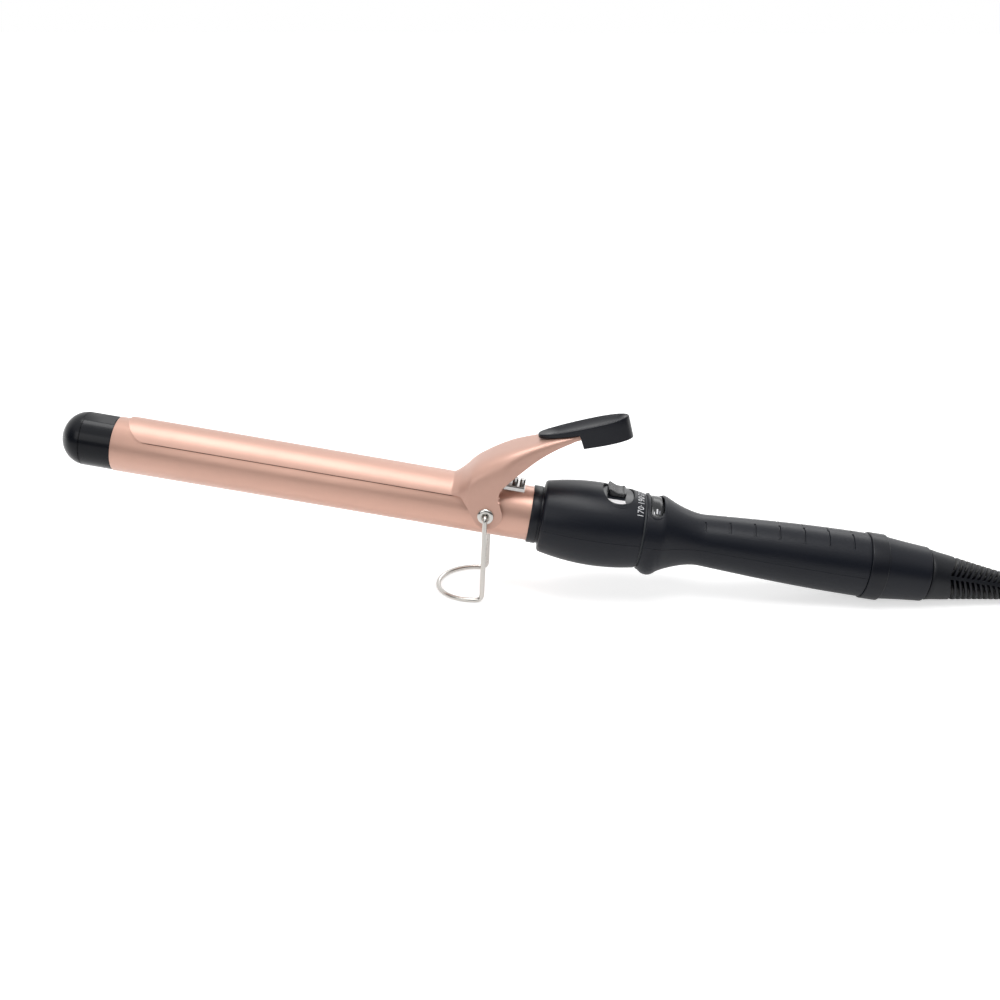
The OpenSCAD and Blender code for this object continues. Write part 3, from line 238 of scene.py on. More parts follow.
def rodOf(path, radius, sides=20):
    # a tube: circles about the path's points, each turned as little as possible from the last
    path = np.asarray(path, float)
    tangent = np.gradient(path, axis=0)
    tangent /= np.linalg.norm(tangent, axis=1)[:, None]
    side = np.cross(tangent[0], (0, 0, 1) if abs(tangent[0][2]) < 0.9 else (0, 1, 0))
    sidesAt = []
    for t in tangent:
        side = side - t * (side @ t)
        side = side / np.linalg.norm(side)
        sidesAt.append(side)
    sidesAt = np.array(sidesAt)
    upAt = np.cross(tangent, sidesAt)
    a = fullTurn(sides)
    ring = np.cos(a)[None, :, None] * sidesAt[:, None] + np.sin(a)[None, :, None] * upAt[:, None]
    return path[:, None] + ring * radius


def placed(name, data):
    # a new object in the scene's own collection
    thing = bpy.data.objects.new(name, data)
    bpy.context.scene.collection.objects.link(thing)
    return thing


def makePiece(name, parts, place, body, look, stands=(), sharp=35, merge=0.002):
    # joins (points, faces) parts, puts them in place and turns closed parts outwards;
    # edges over the sharp angle stay sharp, and merge is the distance at which points are one
    verts, faces, start = [], [], 0
    for points, cells in parts:
        verts.append(np.asarray(points, float))
        faces += [[i + start for i in cell] for cell in cells]
        start += len(points)
    mesh = bpy.data.meshes.new(name)
    mesh.from_pydata(place(np.concatenate(verts)).tolist(), [], faces)
    work = bmesh.new()
    work.from_mesh(mesh)
    bmesh.ops.remove_doubles(work, verts=work.verts, dist=merge * mm)
    bmesh.ops.dissolve_degenerate(work, dist=merge * mm * 0.5, edges=work.edges)
    bmesh.ops.recalc_face_normals(work, faces=work.faces)
    work.to_mesh(mesh)
    work.free()
    mesh.polygons.foreach_set("use_smooth", np.ones(len(mesh.polygons), bool))
    mesh.set_sharp_from_angle(angle=math.radians(sharp))
    mesh.materials.append(looks[look])
    piece = placed(name, mesh)
    if body:
        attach(piece, body)
    if stands:
        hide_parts(*stands)
    return piece


def thicken(piece, wall, bevel=0.0, limit=50):
    # the sheet gets its wall on the inside, and its rims a small bevel
    solid = piece.modifiers.new("wall", "SOLIDIFY")
    solid.thickness = wall * mm
    solid.offset = -1
    if bevel:
        edge = piece.modifiers.new("rim", "BEVEL")
        edge.width = bevel * mm
        edge.segments = 2
        edge.limit_method = "ANGLE"
        edge.angle_limit = math.radians(limit)
    even = piece.modifiers.new("even", "WEIGHTED_NORMAL")
    even.keep_sharp = True


cameraFacts = {"target": (-0.0251, 0, 0.0441), "azimuth": 3.47, "elevation": 23.31, "distance": 0.5468,
               "lens": 42.96, "sensor": 36, "clip": (0.01, 60)}
azimuth, elevation = math.radians(cameraFacts["azimuth"]), math.radians(cameraFacts["elevation"])
backward = Vector((math.sin(azimuth) * math.cos(elevation), -math.cos(azimuth) * math.cos(elevation),
                   math.sin(elevation)))
camera = placed("camera", bpy.data.cameras.new("camera"))
camera.location = Vector(cameraFacts["target"]) + backward * cameraFacts["distance"]
camera.rotation_euler = (-backward).to_track_quat("-Z", "Y").to_euler()
camera.data.lens = cameraFacts["lens"]
camera.data.sensor_width = cameraFacts["sensor"]
camera.data.clip_start, camera.data.clip_end = cameraFacts["clip"]
bpy.context.scene.camera = camera
bpy.context.scene.view_settings.view_transform = "Standard"

lightFacts = {
    "overhead": {"at": (-0.10, -0.10, 1.25), "size": (1.2, 0.4), "watts": 8.5, "aim": (0, 0, 0.03)},
    "front": {"at": (-0.75, -1.15, 0.75), "size": (0.9, 0.7), "watts": 3, "aim": (-0.02, 0, 0.04)},
    "behind": {"at": (0.5, 1.25, 0.9), "size": (1.0, 0.5), "watts": 3.5, "aim": (0, 0, 0.04)},
}
for name, facts in lightFacts.items():
    lamp = bpy.data.lights.new(name, "AREA")
    lamp.shape = "RECTANGLE"
    lamp.size, lamp.size_y = facts["size"]
    lamp.energy = facts["watts"]
    lampObject = placed(name, lamp)
    lampObject.location = facts["at"]
    toAim = Vector(facts["aim"]) - Vector(facts["at"])
    lampObject.rotation_euler = toAim.to_track_quat("-Z", "Y").to_euler()


class Wiring:
    # a small hand for node trees: adds nodes, and sets their sockets or links them
    def __init__(self, tree):
        self.tree = tree

    def add(self, kind, inputs=(), **settings):
        node = self.tree.nodes.new(kind)
        for key, value in settings.items():
            setattr(node, key, value)
        for key, value in dict(inputs).items():
            self.put(node.inputs[key], value)
        return node

    def put(self, socket, value):
        if isinstance(value, bpy.types.NodeSocket):
            self.tree.links.new(value, socket)
        else:
            socket.default_value = value

    def calc(self, operation, *values):
        # one step of arithmetic
        return self.add("ShaderNodeMath", dict(enumerate(values)), operation=operation).outputs[0]

    def ranged(self, value, low, high, toLow=0.0, toHigh=1.0, soft=False):
        # low to high becomes toLow to toHigh, held at both ends; soft gives it level ends
        facts = {"Value": value, "From Min": low, "From Max": high, "To Min": toLow, "To Max": toHigh}
        style = "SMOOTHSTEP" if soft else "LINEAR"
        return self.add("ShaderNodeMapRange", facts, interpolation_type=style).outputs[0]

    def noise(self, vector, scale, detail, **more):
        facts = {"Vector": vector, "Scale": scale, "Detail": detail}
        return self.add("ShaderNodeTexNoise", {**facts, **more}).outputs["Fac"]

    def mixed(self, factor, first, second):
        # one colour blended into another
        node = self.add("ShaderNodeMix", data_type="RGBA")
        for socket, value in ((node.inputs[0], factor), (node.inputs[6], first), (node.inputs[7], second)):
            self.put(socket, value)
        return node.outputs[2]


def newMaterial(name):
    look = bpy.data.materials.new(name)
    look.use_nodes = True
    look.node_tree.nodes.clear()
    return look, Wiring(look.node_tree)


def linear(red, green, blue):
    # a colour as seen on screen, from 0 to 255, to the renderer's linear values
    c = np.array([red, green, blue]) / 255
    return (*np.where(c <= 0.04045, c / 12.92, ((c + 0.055) / 1.055) ** 2.4).tolist(), 1.0)


# reflections see white behind and above, and a dim room on the viewer's side
worldFacts = {"fill": 0.42, "tone": (1.0, 1.0, 1.0, 1), "frontDark": 0.10, "behind": (-0.25, 0.35),
              "top": (0.35, 0.85)}
world = bpy.data.worlds.new("studio")
bpy.context.scene.world = world
world.use_nodes = True
world.node_tree.nodes.clear()
wire = Wiring(world.node_tree)
rays = wire.add("ShaderNodeLightPath").outputs
clear = wire.calc("MAXIMUM", rays["Is Camera Ray"], rays["Is Transmission Ray"])
heading = wire.add("ShaderNodeSeparateXYZ", {0: wire.add("ShaderNodeTexCoord").outputs["Generated"]}).outputs
behind = wire.ranged(heading["Y"], *worldFacts["behind"], soft=True)
above = wire.ranged(heading["Z"], *worldFacts["top"], soft=True)
room = wire.ranged(wire.calc("MAXIMUM", behind, above), 0.0, 1.0, worldFacts["frontDark"], 1.0)
plain = wire.ranged(clear, 0.0, 1.0, worldFacts["fill"], 1.0)
strength = wire.add("ShaderNodeMix", {0: rays["Is Glossy Ray"], 2: plain, 3: room}).outputs[0]
sky = wire.add("ShaderNodeBackground", {"Color": worldFacts["tone"], "Strength": strength})
wire.add("ShaderNodeOutputWorld", {"Surface": sky.outputs[0]})

# the floor glows for the camera and, on its far side, in reflections; it stays plain where it lights the iron
floorFacts = {"size": 14, "colour": 0.86, "speck": 0.02, "glow": 0.59, "farGlow": 1.2, "away": (0.3, 1.0),
              "dim": (-0.2, 0.15)}
half = floorFacts["size"] / 2
floorMesh = bpy.data.meshes.new("floor")
floorMesh.from_pydata([(-half, -half, 0), (half, -half, 0), (half, half, 0), (-half, half, 0)], [],
                      [(0, 1, 2, 3)])
floor = placed("floor", floorMesh)
floorLook, wire = newMaterial("paleFloor")
rays = wire.add("ShaderNodeLightPath").outputs
middle = wire.add("ShaderNodeTexCoord").outputs["Object"]
across = wire.add("ShaderNodeSeparateXYZ", {0: middle}).outputs["Y"]
mirrored = wire.calc("MULTIPLY", rays["Is Glossy Ray"], wire.ranged(across, *floorFacts["dim"], soft=True))
seen = wire.calc("MAXIMUM", wire.calc("MAXIMUM", rays["Is Camera Ray"], mirrored),
                 rays["Is Transmission Ray"])
speck = wire.add("ShaderNodeTexNoise", {"Scale": 3.0, "Detail": 2.0}).outputs["Fac"]
tone = wire.ranged(speck, 0.0, 1.0, floorFacts["colour"], floorFacts["colour"] + floorFacts["speck"])
away = wire.add("ShaderNodeVectorMath", {0: middle}, operation="LENGTH").outputs["Value"]
far = wire.ranged(away, *floorFacts["away"], floorFacts["glow"], floorFacts["farGlow"], soft=True)
shader = wire.add("ShaderNodeBsdfPrincipled", {
    "Base Color": tone, "Roughness": 0.9, "Specular IOR Level": 0.1, "Emission Color": (1, 1, 1, 1),
    "Emission Strength": wire.calc("MULTIPLY", seen, far)})
wire.add("ShaderNodeOutputMaterial", {"Surface": shader.outputs[0]})
floorMesh.materials.append(floorLook)
print("camera, floor and lamps ready")


def newGroup(name, inputs, outputs):
    # a shader node group; an input's default tells its kind, and the vector has none
    group = bpy.data.node_groups.new(name, "ShaderNodeTree")
    for label, value in inputs.items():
        kind = {type(None): "Vector", tuple: "Color"}.get(type(value), "Float")
        socket = group.interface.new_socket(label, in_out="INPUT", socket_type="NodeSocket" + kind)
        if value is not None:
            socket.default_value = value
    for label, kind in outputs.items():
        group.interface.new_socket(label, in_out="OUTPUT", socket_type="NodeSocket" + kind)
    wire = Wiring(group)
    return group, wire, wire.add("NodeGroupInput").outputs


# mottle: two sizes of cloud shift a colour a little lighter and darker, and give a mask
mottle, wire, ins = newGroup("mottle",
                             {"Vector": None, "Colour": (0.5, 0.5, 0.5, 1), "Scale": 60.0, "Amount": 0.1},
                             {"Colour": "Color", "Mask": "Float"})
broad = wire.noise(ins["Vector"], ins["Scale"], 3.0)
fine = wire.noise(ins["Vector"], wire.calc("MULTIPLY", ins["Scale"], 9.0), 2.0)
centred = wire.calc("SUBTRACT", wire.calc("ADD", broad, fine), 1.0)
gain = wire.calc("ADD", wire.calc("MULTIPLY", centred, ins["Amount"]), 1.0)
coloured = wire.add("ShaderNodeVectorMath", {0: ins["Colour"], "Scale": gain}, operation="SCALE").outputs[0]
wire.add("NodeGroupOutput", {"Colour": coloured, "Mask": broad})

# satinGrain: very fine moulded or blasted grain, as a height, and a roughness that clouds shift
satinGrain, wire, ins = newGroup("satinGrain",
                                 {"Vector": None, "Scale": 3000.0, "Roughness": 0.4, "Spread": 0.05},
                                 {"Height": "Float", "Roughness": "Float"})
grain = wire.noise(ins["Vector"], ins["Scale"], 2.0, Roughness=0.6)
offset = wire.calc("SUBTRACT", wire.noise(ins["Vector"], 45.0, 3.0), 0.5)
rough = wire.calc("ADD", wire.calc("MULTIPLY", offset, ins["Spread"]), ins["Roughness"])
wire.add("NodeGroupOutput", {"Height": grain, "Roughness": rough})

# brushLines: long fine lines along X, from noise that is stretched along the iron
brushLines, wire, ins = newGroup("brushLines", {"Vector": None, "Scale": 900.0, "Stretch": 0.03},
                                 {"Height": "Float", "Mask": "Float"})
along = wire.add("ShaderNodeCombineXYZ", {"X": ins["Stretch"], "Y": 1.0, "Z": 1.0}).outputs[0]
drawn = wire.add("ShaderNodeVectorMath", {0: ins["Vector"], 1: along}, operation="MULTIPLY").outputs[0]
lines = wire.noise(drawn, ins["Scale"], 3.0)
wire.add("NodeGroupOutput", {"Height": lines, "Mask": wire.ranged(lines, 0.35, 0.65)})

# handling: faint smudges and small specks of dust, as two masks
handling, wire, ins = newGroup("handling", {"Vector": None, "Scale": 30.0},
                               {"Smudge": "Float", "Dust": "Float"})
warp = wire.noise(ins["Vector"], ins["Scale"], 5.0, Distortion=0.8)
specks = wire.add("ShaderNodeTexVoronoi", {"Vector": ins["Vector"], "Scale": 700.0}).outputs["Distance"]
wire.add("NodeGroupOutput", {"Smudge": wire.ranged(warp, 0.5, 0.72), "Dust": wire.ranged(specks, 0.09, 0.05)})


def finish(name, colour, roughness, metallic=0.0, mottled=0.08, mottleScale=50.0, spread=0.06,
           grainScale=2600.0, bump=0.02, lines=0.0, smudge=0.05, dustTone=0.0, coat=0.0, coatRoughness=0.1,
           specular=0.5, sheen=0.0):
    # one surface: mottled colour, clouded roughness with smudges, and grain or brushed lines as bump
    look, wire = newMaterial(name)
    where = wire.add("ShaderNodeTexCoord").outputs["Object"]
    cloud = wire.add("ShaderNodeGroup", node_tree=mottle)
    grain = wire.add("ShaderNodeGroup", node_tree=satinGrain)
    touched = wire.add("ShaderNodeGroup", node_tree=handling)
    clouds = {"Colour": linear(*colour), "Scale": mottleScale, "Amount": mottled}
    grains = {"Scale": grainScale, "Roughness": roughness, "Spread": spread}
    for node, facts in ((cloud, clouds), (touched, {}), (grain, grains)):
        for key, value in {"Vector": where, **facts}.items():
            wire.put(node.inputs[key], value)
    base, height = cloud.outputs["Colour"], grain.outputs["Height"]
    roughOut = wire.calc("MULTIPLY_ADD", touched.outputs["Smudge"], smudge, grain.outputs["Roughness"])
    if dustTone:
        base = wire.mixed(wire.calc("MULTIPLY", touched.outputs["Dust"], dustTone), base, (0.5, 0.5, 0.5, 1))
    if lines:
        drawn = wire.add("ShaderNodeGroup", {"Vector": where}, node_tree=brushLines).outputs
        height = wire.calc("MULTIPLY_ADD", drawn["Height"], lines, height)
        roughOut = wire.calc("MULTIPLY_ADD", drawn["Mask"], 0.04 * lines, roughOut)
    relief = wire.add("ShaderNodeBump", {"Height": height, "Strength": bump, "Distance": 0.0005})
    shader = wire.add("ShaderNodeBsdfPrincipled", {
        "Base Color": base, "Roughness": roughOut, "Metallic": metallic, "Normal": relief.outputs[0],
        "Coat Weight": coat, "Coat Roughness": coatRoughness, "Specular IOR Level": specular,
        "Sheen Weight": sheen})
    wire.add("ShaderNodeOutputMaterial", {"Surface": shader.outputs[0]})
    return look


# each surface's colour as seen, its roughness, and what differs from a plain one; some share a start
steel = dict(metallic=1.0, mottled=0.06, spread=0.08, smudge=0.08)
gloss = dict(mottled=0.1, spread=0.05)
flexible = dict(mottled=0.12, spread=0.08, dustTone=0.03)
ink = dict(mottleScale=500, spread=0.08, bump=0.05)
lookFacts = {
    "roseBarrel": ((216, 172, 154), 0.38, dict(metallic=0.72, mottled=0.04, spread=0.05, bump=0.012,
                                               lines=1.0, smudge=0.04, coat=0.5, coatRoughness=0.36)),
    "roseClamp": ((208, 165, 148), 0.46, dict(metallic=0.52, mottled=0.05, spread=0.05, bump=0.03, coat=0.75,
                                              coatRoughness=0.42)),
    "coolTip": ((9, 12, 19), 0.26, dict(mottled=0.1, spread=0.08, bump=0.006, smudge=0.08, coat=0.08,
                                        coatRoughness=0.08, specular=0.22)),
    "thumbPad": ((14, 17, 26), 0.22, dict(gloss, bump=0.008, smudge=0.08, specular=0.35)),
    "handleBlack": ((13, 17, 27), 0.37, dict(mottled=0.12, spread=0.08, bump=0.05, specular=0.32,
                                             dustTone=0.02)),
    "trimBlack": ((12, 15, 24), 0.34, dict(mottled=0.12, bump=0.03, specular=0.32)),
    "bootRubber": ((12, 15, 22), 0.42, dict(flexible, bump=0.08, smudge=0.04, specular=0.34)),
    "bezelGrey": ((38, 41, 46), 0.3, gloss),
    "sliderBlack": ((18, 20, 24), 0.26, dict(gloss, bump=0.015, smudge=0.06)),
    "dialBlack": ((20, 22, 26), 0.22, dict(gloss, bump=0.01, smudge=0.06)),
    "lensWhite": ((250, 248, 249), 0.18, dict(mottled=0.06, mottleScale=400, spread=0.05, smudge=0.04)),
    "inkWhite": ((226, 227, 230), 0.5, ink),
    "inkGrey": ((128, 130, 136), 0.5, ink),
    "chrome": ((214, 212, 208), 0.14, dict(steel, mottled=0.05, spread=0.06, bump=0.006)),
    "standWire": ((206, 203, 198), 0.2, dict(steel, spread=0.06, bump=0.01, lines=0.6)),
    "plateSteel": ((206, 205, 203), 0.2, dict(steel, bump=0.012, lines=0.5)),
    "springSteel": ((188, 186, 184), 0.26, dict(steel, lines=1.2)),
    "screwSteel": ((120, 121, 124), 0.34, dict(metallic=1.0, mottled=0.1, spread=0.1, bump=0.03, smudge=0.1)),
    "cordBlack": ((20, 21, 24), 0.38, dict(flexible, mottleScale=90, bump=0.03, smudge=0.08)),
    "plugBlack": ((19, 20, 23), 0.36, dict(flexible, mottleScale=80, bump=0.05, smudge=0.06)),
    "tieBlack": ((36, 37, 40), 0.8, dict(mottled=0.25, mottleScale=300, spread=0.1, grainScale=5000, bump=0.4,
                                         sheen=0.3)),
    "pinNickel": ((205, 203, 196), 0.2, dict(steel, bump=0.01)),
    "frameGrey": ((60, 63, 67), 0.5, dict(mottled=0.12, bump=0.05)),
    "castAlloy": ((184, 187, 191), 0.5, dict(metallic=0.9, mottled=0.1, bump=0.3, grainScale=1200)),
    "ceramicWhite": ((228, 224, 214), 0.55, dict(mottled=0.06, bump=0.05)),
    "leadWhite": ((238, 236, 230), 0.5, dict(mottled=0.05, bump=0.1)),
    "leadRed": ((190, 54, 46), 0.45, dict(bump=0.04)),
    "sensorGrey": ((84, 96, 110), 0.45, dict(bump=0.03)),
    "boardGreen": ((44, 104, 62), 0.35, dict(mottled=0.18, mottleScale=200, coat=0.3)),
    "componentDark": ((66, 69, 74), 0.5, dict(mottled=0.1, bump=0.05)),
    "switchBlue": ((46, 92, 138), 0.4, dict(bump=0.03)),
    "contactBrass": ((207, 166, 88), 0.28, dict(metallic=1.0, mottled=0.1, lines=0.5)),
    "lampRed": ((196, 62, 52), 0.15, dict(mottled=0.05, bump=0.01, coat=0.4)),
}
looks = {name: finish(name, colour, roughness, **more)
         for name, (colour, roughness, more) in lookFacts.items()}
bladeShade = {"edge": 57.4, "soft": 1.4, "width": 3.0, "from": -158.0, "to": -17.0, "fadeIn": 4.0,
              "fadeOut": 2.0, "depth": 0.2}


def shadeUnderBlade(look):
    # the barrel is darker in a thin line along the blade's lower edges: the point is taken back to the
    # barrel's own frame, and its angle from the top is the arctangent of across over up
    wire = Wiring(look.node_tree)
    shader = next(node for node in look.node_tree.nodes if node.type == "BSDF_PRINCIPLED")
    base = shader.inputs["Base Color"].links[0].from_socket
    pivot = (stance["shiftX"] * mm, 0, stance["pivotHeight"] * mm)
    where = wire.add("ShaderNodeTexCoord").outputs["Object"]
    fromPivot = wire.add("ShaderNodeVectorMath", {0: where, 1: pivot}, operation="SUBTRACT").outputs[0]
    level = wire.add("ShaderNodeVectorRotate", {"Vector": fromPivot, "Angle": -math.radians(stance["tilt"])},
                     rotation_type="Y_AXIS").outputs[0]
    x, y, z = wire.add("ShaderNodeSeparateXYZ", {0: level}).outputs
    angle = wire.calc("ARCTAN2", wire.calc("ABSOLUTE", y), wire.calc("ADD", z, stance["pivotRise"] * mm))
    edge, soft, width = (math.radians(bladeShade[key]) for key in ("edge", "soft", "width"))
    below = wire.ranged(angle, edge + soft, edge, soft=True)
    above = wire.ranged(angle, edge - width, edge, soft=True)
    start, end = bladeShade["from"] * mm, bladeShade["to"] * mm
    behind = wire.ranged(x, start, start + bladeShade["fadeIn"] * mm)
    ahead = wire.ranged(x, end + bladeShade["fadeOut"] * mm, end)
    mask = wire.calc("MULTIPLY", wire.calc("MULTIPLY", behind, ahead), wire.calc("MULTIPLY", below, above))
    dark = wire.add("ShaderNodeVectorMath", {0: base, "Scale": bladeShade["depth"]},
                    operation="SCALE").outputs[0]
    wire.put(shader.inputs["Base Color"], wire.mixed(mask, base, dark))


shadeUnderBlade(looks["roseBarrel"])
print("finishes ready:", len(looks))

# the cord runs from the boot into a hank of turns, two wide and four high, and on to the plug
cord = {"radius": 3.0, "sides": 18, "step": 2.5, "inBoot": (256, 261, 266),
        "enter": [(241, -3, 3.1), (248.5, -10, 3.1), (255.5, -16.8, 3.2), (264, -20.4, 3.2)],
        "leave": [(349, -21, 20.9), (358, -20.5, 19.2), (368, -18.6, 14.4), (378, -15, 8.8),
                  (389, -10.4, 5.4), (400, -6.6, 5.2), (410, -4.4, 6.2), (418, -4, 6.85), (424, -4, 6.85)]}
hank = {"at": (306.0, 0.0), "reach": 33.0, "bend": 15.0, "waist": 5.0, "lift": 0.8, "pitch": 6.0, "turns": 8,
        "column": [1, 0, 0, 1, 1, 0, 0, 1, 1], "layer": [0, 0, 1, 1, 2, 2, 3, 3, 3], "lastShare": 0.262,
        "moveAt": 0.88, "moveEarlier": 0.1, "moveOver": 0.1, "sagFrom": 6, "sagOver": 18}


def hankTurn():
    # one inner turn, from the near side's start: sides drawn in by a cosine, half circles at both ends
    x = np.linspace(-1, 1, 61)
    drawnIn = (hank["bend"] - hank["waist"]) * (1 + np.cos(math.pi * x)) / 2
    side = np.stack([x * hank["reach"], hank["bend"] - drawnIn], -1)
    a = np.radians(np.linspace(-90, 90, 51)[1:-1])
    end = np.stack([hank["reach"] + hank["bend"] * np.cos(a), hank["bend"] * np.sin(a)], -1)
    turn = np.concatenate([side * (1, -1), end, side[::-1], -end])
    ring = np.concatenate([turn, turn[:1]])
    far = distances(ring)
    even = np.linspace(0, far[-1], 241)[:-1]
    turn = np.stack([np.interp(even, far, ring[:, k]) for k in (0, 1)], -1)
    return turn, -leftOf(turn, closed=True)


def hankPath():
    # each turn ends by moving out, in or up one pitch; later turns move earlier, into a place already left
    turn, outward = hankTurn()
    column, layer = hank["column"], hank["layer"]
    points = []
    for k in range(hank["turns"]):
        u = np.arange(len(turn)) / len(turn)
        if k == hank["turns"] - 1:
            u = u[u < hank["lastShare"]]
        move = smoothStep((u - hank["moveAt"] + hank["moveEarlier"] * k) / hank["moveOver"])
        out = (column[k] + (column[k + 1] - column[k]) * move) * hank["pitch"]
        up = (layer[k] + (layer[k + 1] - layer[k]) * move) * hank["pitch"]
        flat = turn[:len(u)] + outward[:len(u)] * out[:, None]
        sag = hank["lift"] * smoothStep((np.abs(flat[:, 0]) - hank["sagFrom"]) / hank["sagOver"])
        high = cord["radius"] + hank["lift"] - sag + up
        points.append(np.concatenate([flat + hank["at"], high[:, None]], 1))
    return np.concatenate(points)


wound = hankPath()
inBoot = [onHandle((s, 0, 0)) / mm for s in cord["inBoot"]]
enter = splined(np.array(inBoot + cord["enter"] + [wound[0]]), 10)
leave = splined(np.array([wound[-1]] + cord["leave"]), 10)
cordPath = resampled(np.concatenate([enter[:-1], wound, leave[1:]]), cord["step"])
cordPath = cordPath[np.concatenate([[True], np.linalg.norm(np.diff(cordPath, axis=0), axis=1) > 0.4])]
cordPath = smoothed(cordPath, 8)
powerCord = makePiece("powerCord", [cappedOf(rodOf(cordPath, cord["radius"], cord["sides"]))], onTable,
                      "iron", "cordBlack", ["power_cord", "cord_hank", "plug_lead"])

tie = {"width": 8.0, "wall": 0.8, "half": 14.15, "high": 24.1, "corner": 3.2, "start": 8, "overlap": 20.0,
       "stand": 0.8, "clear": 0.05, "lead": 12, "ramp": 6,
       "section": [(0.12, 0), (0.88, 0), (0.97, 0.15), (1, 0.5), (0.97, 0.85), (0.88, 1), (0.12, 1),
                   (0.03, 0.85), (0, 0.5), (0.03, 0.15)]}


def tieGrid():
    # a strap round the hank's waist: a rounded rectangle gone round once and a little more, its end lapped
    # over its start, with the section swept along it
    half, high, corner, start = tie["half"], tie["high"], tie["corner"], tie["start"]
    loop = rounded([(start, high), (-half, high, corner), (-half, 0, corner), (half, 0, corner),
                    (half, high, corner), (start, high)], 9)
    loop = resampled(np.concatenate([loop, [(start - tie["overlap"], high)]]), 1.0)
    fromEnd = np.cumsum(np.linalg.norm(np.diff(loop[::-1], axis=0, append=loop[:1]), axis=1))[::-1]
    lap = smoothStep((tie["overlap"] + tie["lead"] - fromEnd) / tie["ramp"])
    outward, section = leftOf(loop), np.array(tie["section"])
    outer = loop - outward * (lap * (tie["wall"] + tie["clear"]))[:, None]
    strap = outer[:, None] - outward[:, None] * section[None, :, 1:] * tie["wall"]
    station = hank["at"][0] + (section[None, :, 0] - 0.5) * tie["width"] + 0 * strap[..., 0]
    return np.stack([station, hank["at"][1] + strap[..., 0], strap[..., 1] + tie["stand"]], -1)


makePiece("cordTie", [cappedOf(tieGrid())], onTable, "iron", "tieBlack", ["cord_tie"])

plug = {"at": (418.0, -4.0, 6.85), "pinPitch": 18.6, "length": 35.0, "halfHeight": 6.8, "neck": 4.7,
        "swellOver": 20, "round": 2.2, "squarer": 2.6, "squareFrom": 6, "squareOver": 16,
        "wide": ([0, 4, 9, 13, 18, 21.5, 25, 35], [4.9, 5.4, 6.4, 9.2, 14.2, 16.9, 17.6, 17.6]),
        "rim": ([0, 0.4, 1.2, 33.6, 34.3, 34.8, 35.0], [0.7, 0.3, 0, 0, 0.15, 0.55, 1.0]),
        "rest": {"depth": 0.7, "at": 20, "halfLength": 6, "halfWidth": 9},
        "guard": {"from": -12.5, "to": 0.6, "radius": 3.5, "swell": 1.15, "slot": 0.38, "pitch": 2.3,
                  "cut": 0.9, "first": 11.6, "last": 1}}
pinProfile = rounded([(0, -1), (1.5, -1), (1.5, 0), (2.0, 0.05), (2.0, 17.9, 0.4), (1.2, 19.0, 0.5),
                      (0, 19.0)], 5)
sleeveProfile = rounded([(0, -1), (1.95, -1), (2.06, 0.1), (2.06, 9.6, 0.15), (1.6, 9.9), (0, 9.9)], 4)


def onPlug(points):
    # plug points are (across, along, up); along runs with X
    p = np.asarray(points, float)
    return onTable(np.stack([p[..., 1], -p[..., 0], p[..., 2]], -1) + plug["at"])


def plugGrid():
    # superellipse sections: the width grows over a shoulder, the height swells from the cord's; rounded rim
    y = np.concatenate([[0, 0.4], np.linspace(1.2, 33.6, 46), [34.3, 34.8, 35.0]])
    wide, shrink = smoothed(np.interp(y, *plug["wide"]), 6), np.interp(y, *plug["rim"])
    tall = plug["neck"] + (plug["halfHeight"] - plug["neck"]) * smoothStep(y / plug["swellOver"])
    square = plug["round"] + plug["squarer"] * smoothStep((y - plug["squareFrom"]) / plug["squareOver"])
    a = fullTurn(72)[None]
    power = (2 / square)[:, None]
    x = (wide - shrink)[:, None] * signedPower(np.cos(a), power)
    z = (tall - shrink)[:, None] * signedPower(np.sin(a), power)
    # finger rests in the broad faces: a bell curve of both distances, off the height
    rest = plug["rest"]
    along, across = (y[:, None] - rest["at"]) / rest["halfLength"], x / rest["halfWidth"]
    z = z - np.sign(z) * rest["depth"] * np.exp(-along ** 2 - across ** 2) * (np.abs(z) > 2)
    return np.stack([x, y[:, None] + 0 * x, z], -1)


def guardGrid():
    # sleeve behind the plug, tapering to the cord, with ring slots cut at an even pitch
    guard = plug["guard"]
    y = np.linspace(guard["from"], guard["to"], 80)
    slotted = (y > -guard["first"]) * (y < -guard["last"])
    slots = slotted * (np.mod(y + guard["first"], guard["pitch"]) < guard["cut"])
    radius = guard["radius"] + guard["swell"] * smoothStep((y - guard["from"]) / 13) - guard["slot"] * slots
    return spunAcross(np.stack([radius, y], -1), 40)


def pinParts(profile):
    # a profile of (radius, distance from the plug's face) turned about each pin's axis
    grid = spunAcross(profile, 36)
    return [sheetOf(grid + (side * plug["pinPitch"] / 2, plug["length"], 0), around=True) for side in (-1, 1)]


plugBody = makePiece("plugBody", [cappedOf(plugGrid()), cappedOf(guardGrid())], onPlug, "iron", "plugBlack",
                     ["plug_body"], sharp=40)
plugPins = makePiece("plugPins", pinParts(pinProfile), onPlug, "iron", "pinNickel",
                     ["plug_pins"])
pinSleeves = makePiece("pinSleeves", pinParts(sleeveProfile), onPlug, "iron", "plugBlack")
print("cord, hank and plug made")

barrel = {"radius": 12.5, "bore": 11.6, "tipEnd": -171.6, "tail": 40.0, "rim": 0.3}
ends = [(barrel["bore"], barrel["tail"]), (barrel["radius"], barrel["tail"]),
        (barrel["radius"], barrel["tipEnd"] + barrel["rim"]),
        (barrel["radius"] - 0.12, barrel["tipEnd"] + 0.1), (barrel["radius"] - 0.3, barrel["tipEnd"]),
        (barrel["bore"], barrel["tipEnd"])]
makePiece("barrelTube", [turnedOf(ends, 160, closed=True)], onBarrel, "iron", "roseBarrel",
          ["barrel_tube"])

coolTip = {"radius": 12.25, "dome": 11.0, "domeAt": -185.5, "seat": -171.62, "facet": 11.1,
           "facetFrom": -186.1, "facetTo": -172.1}


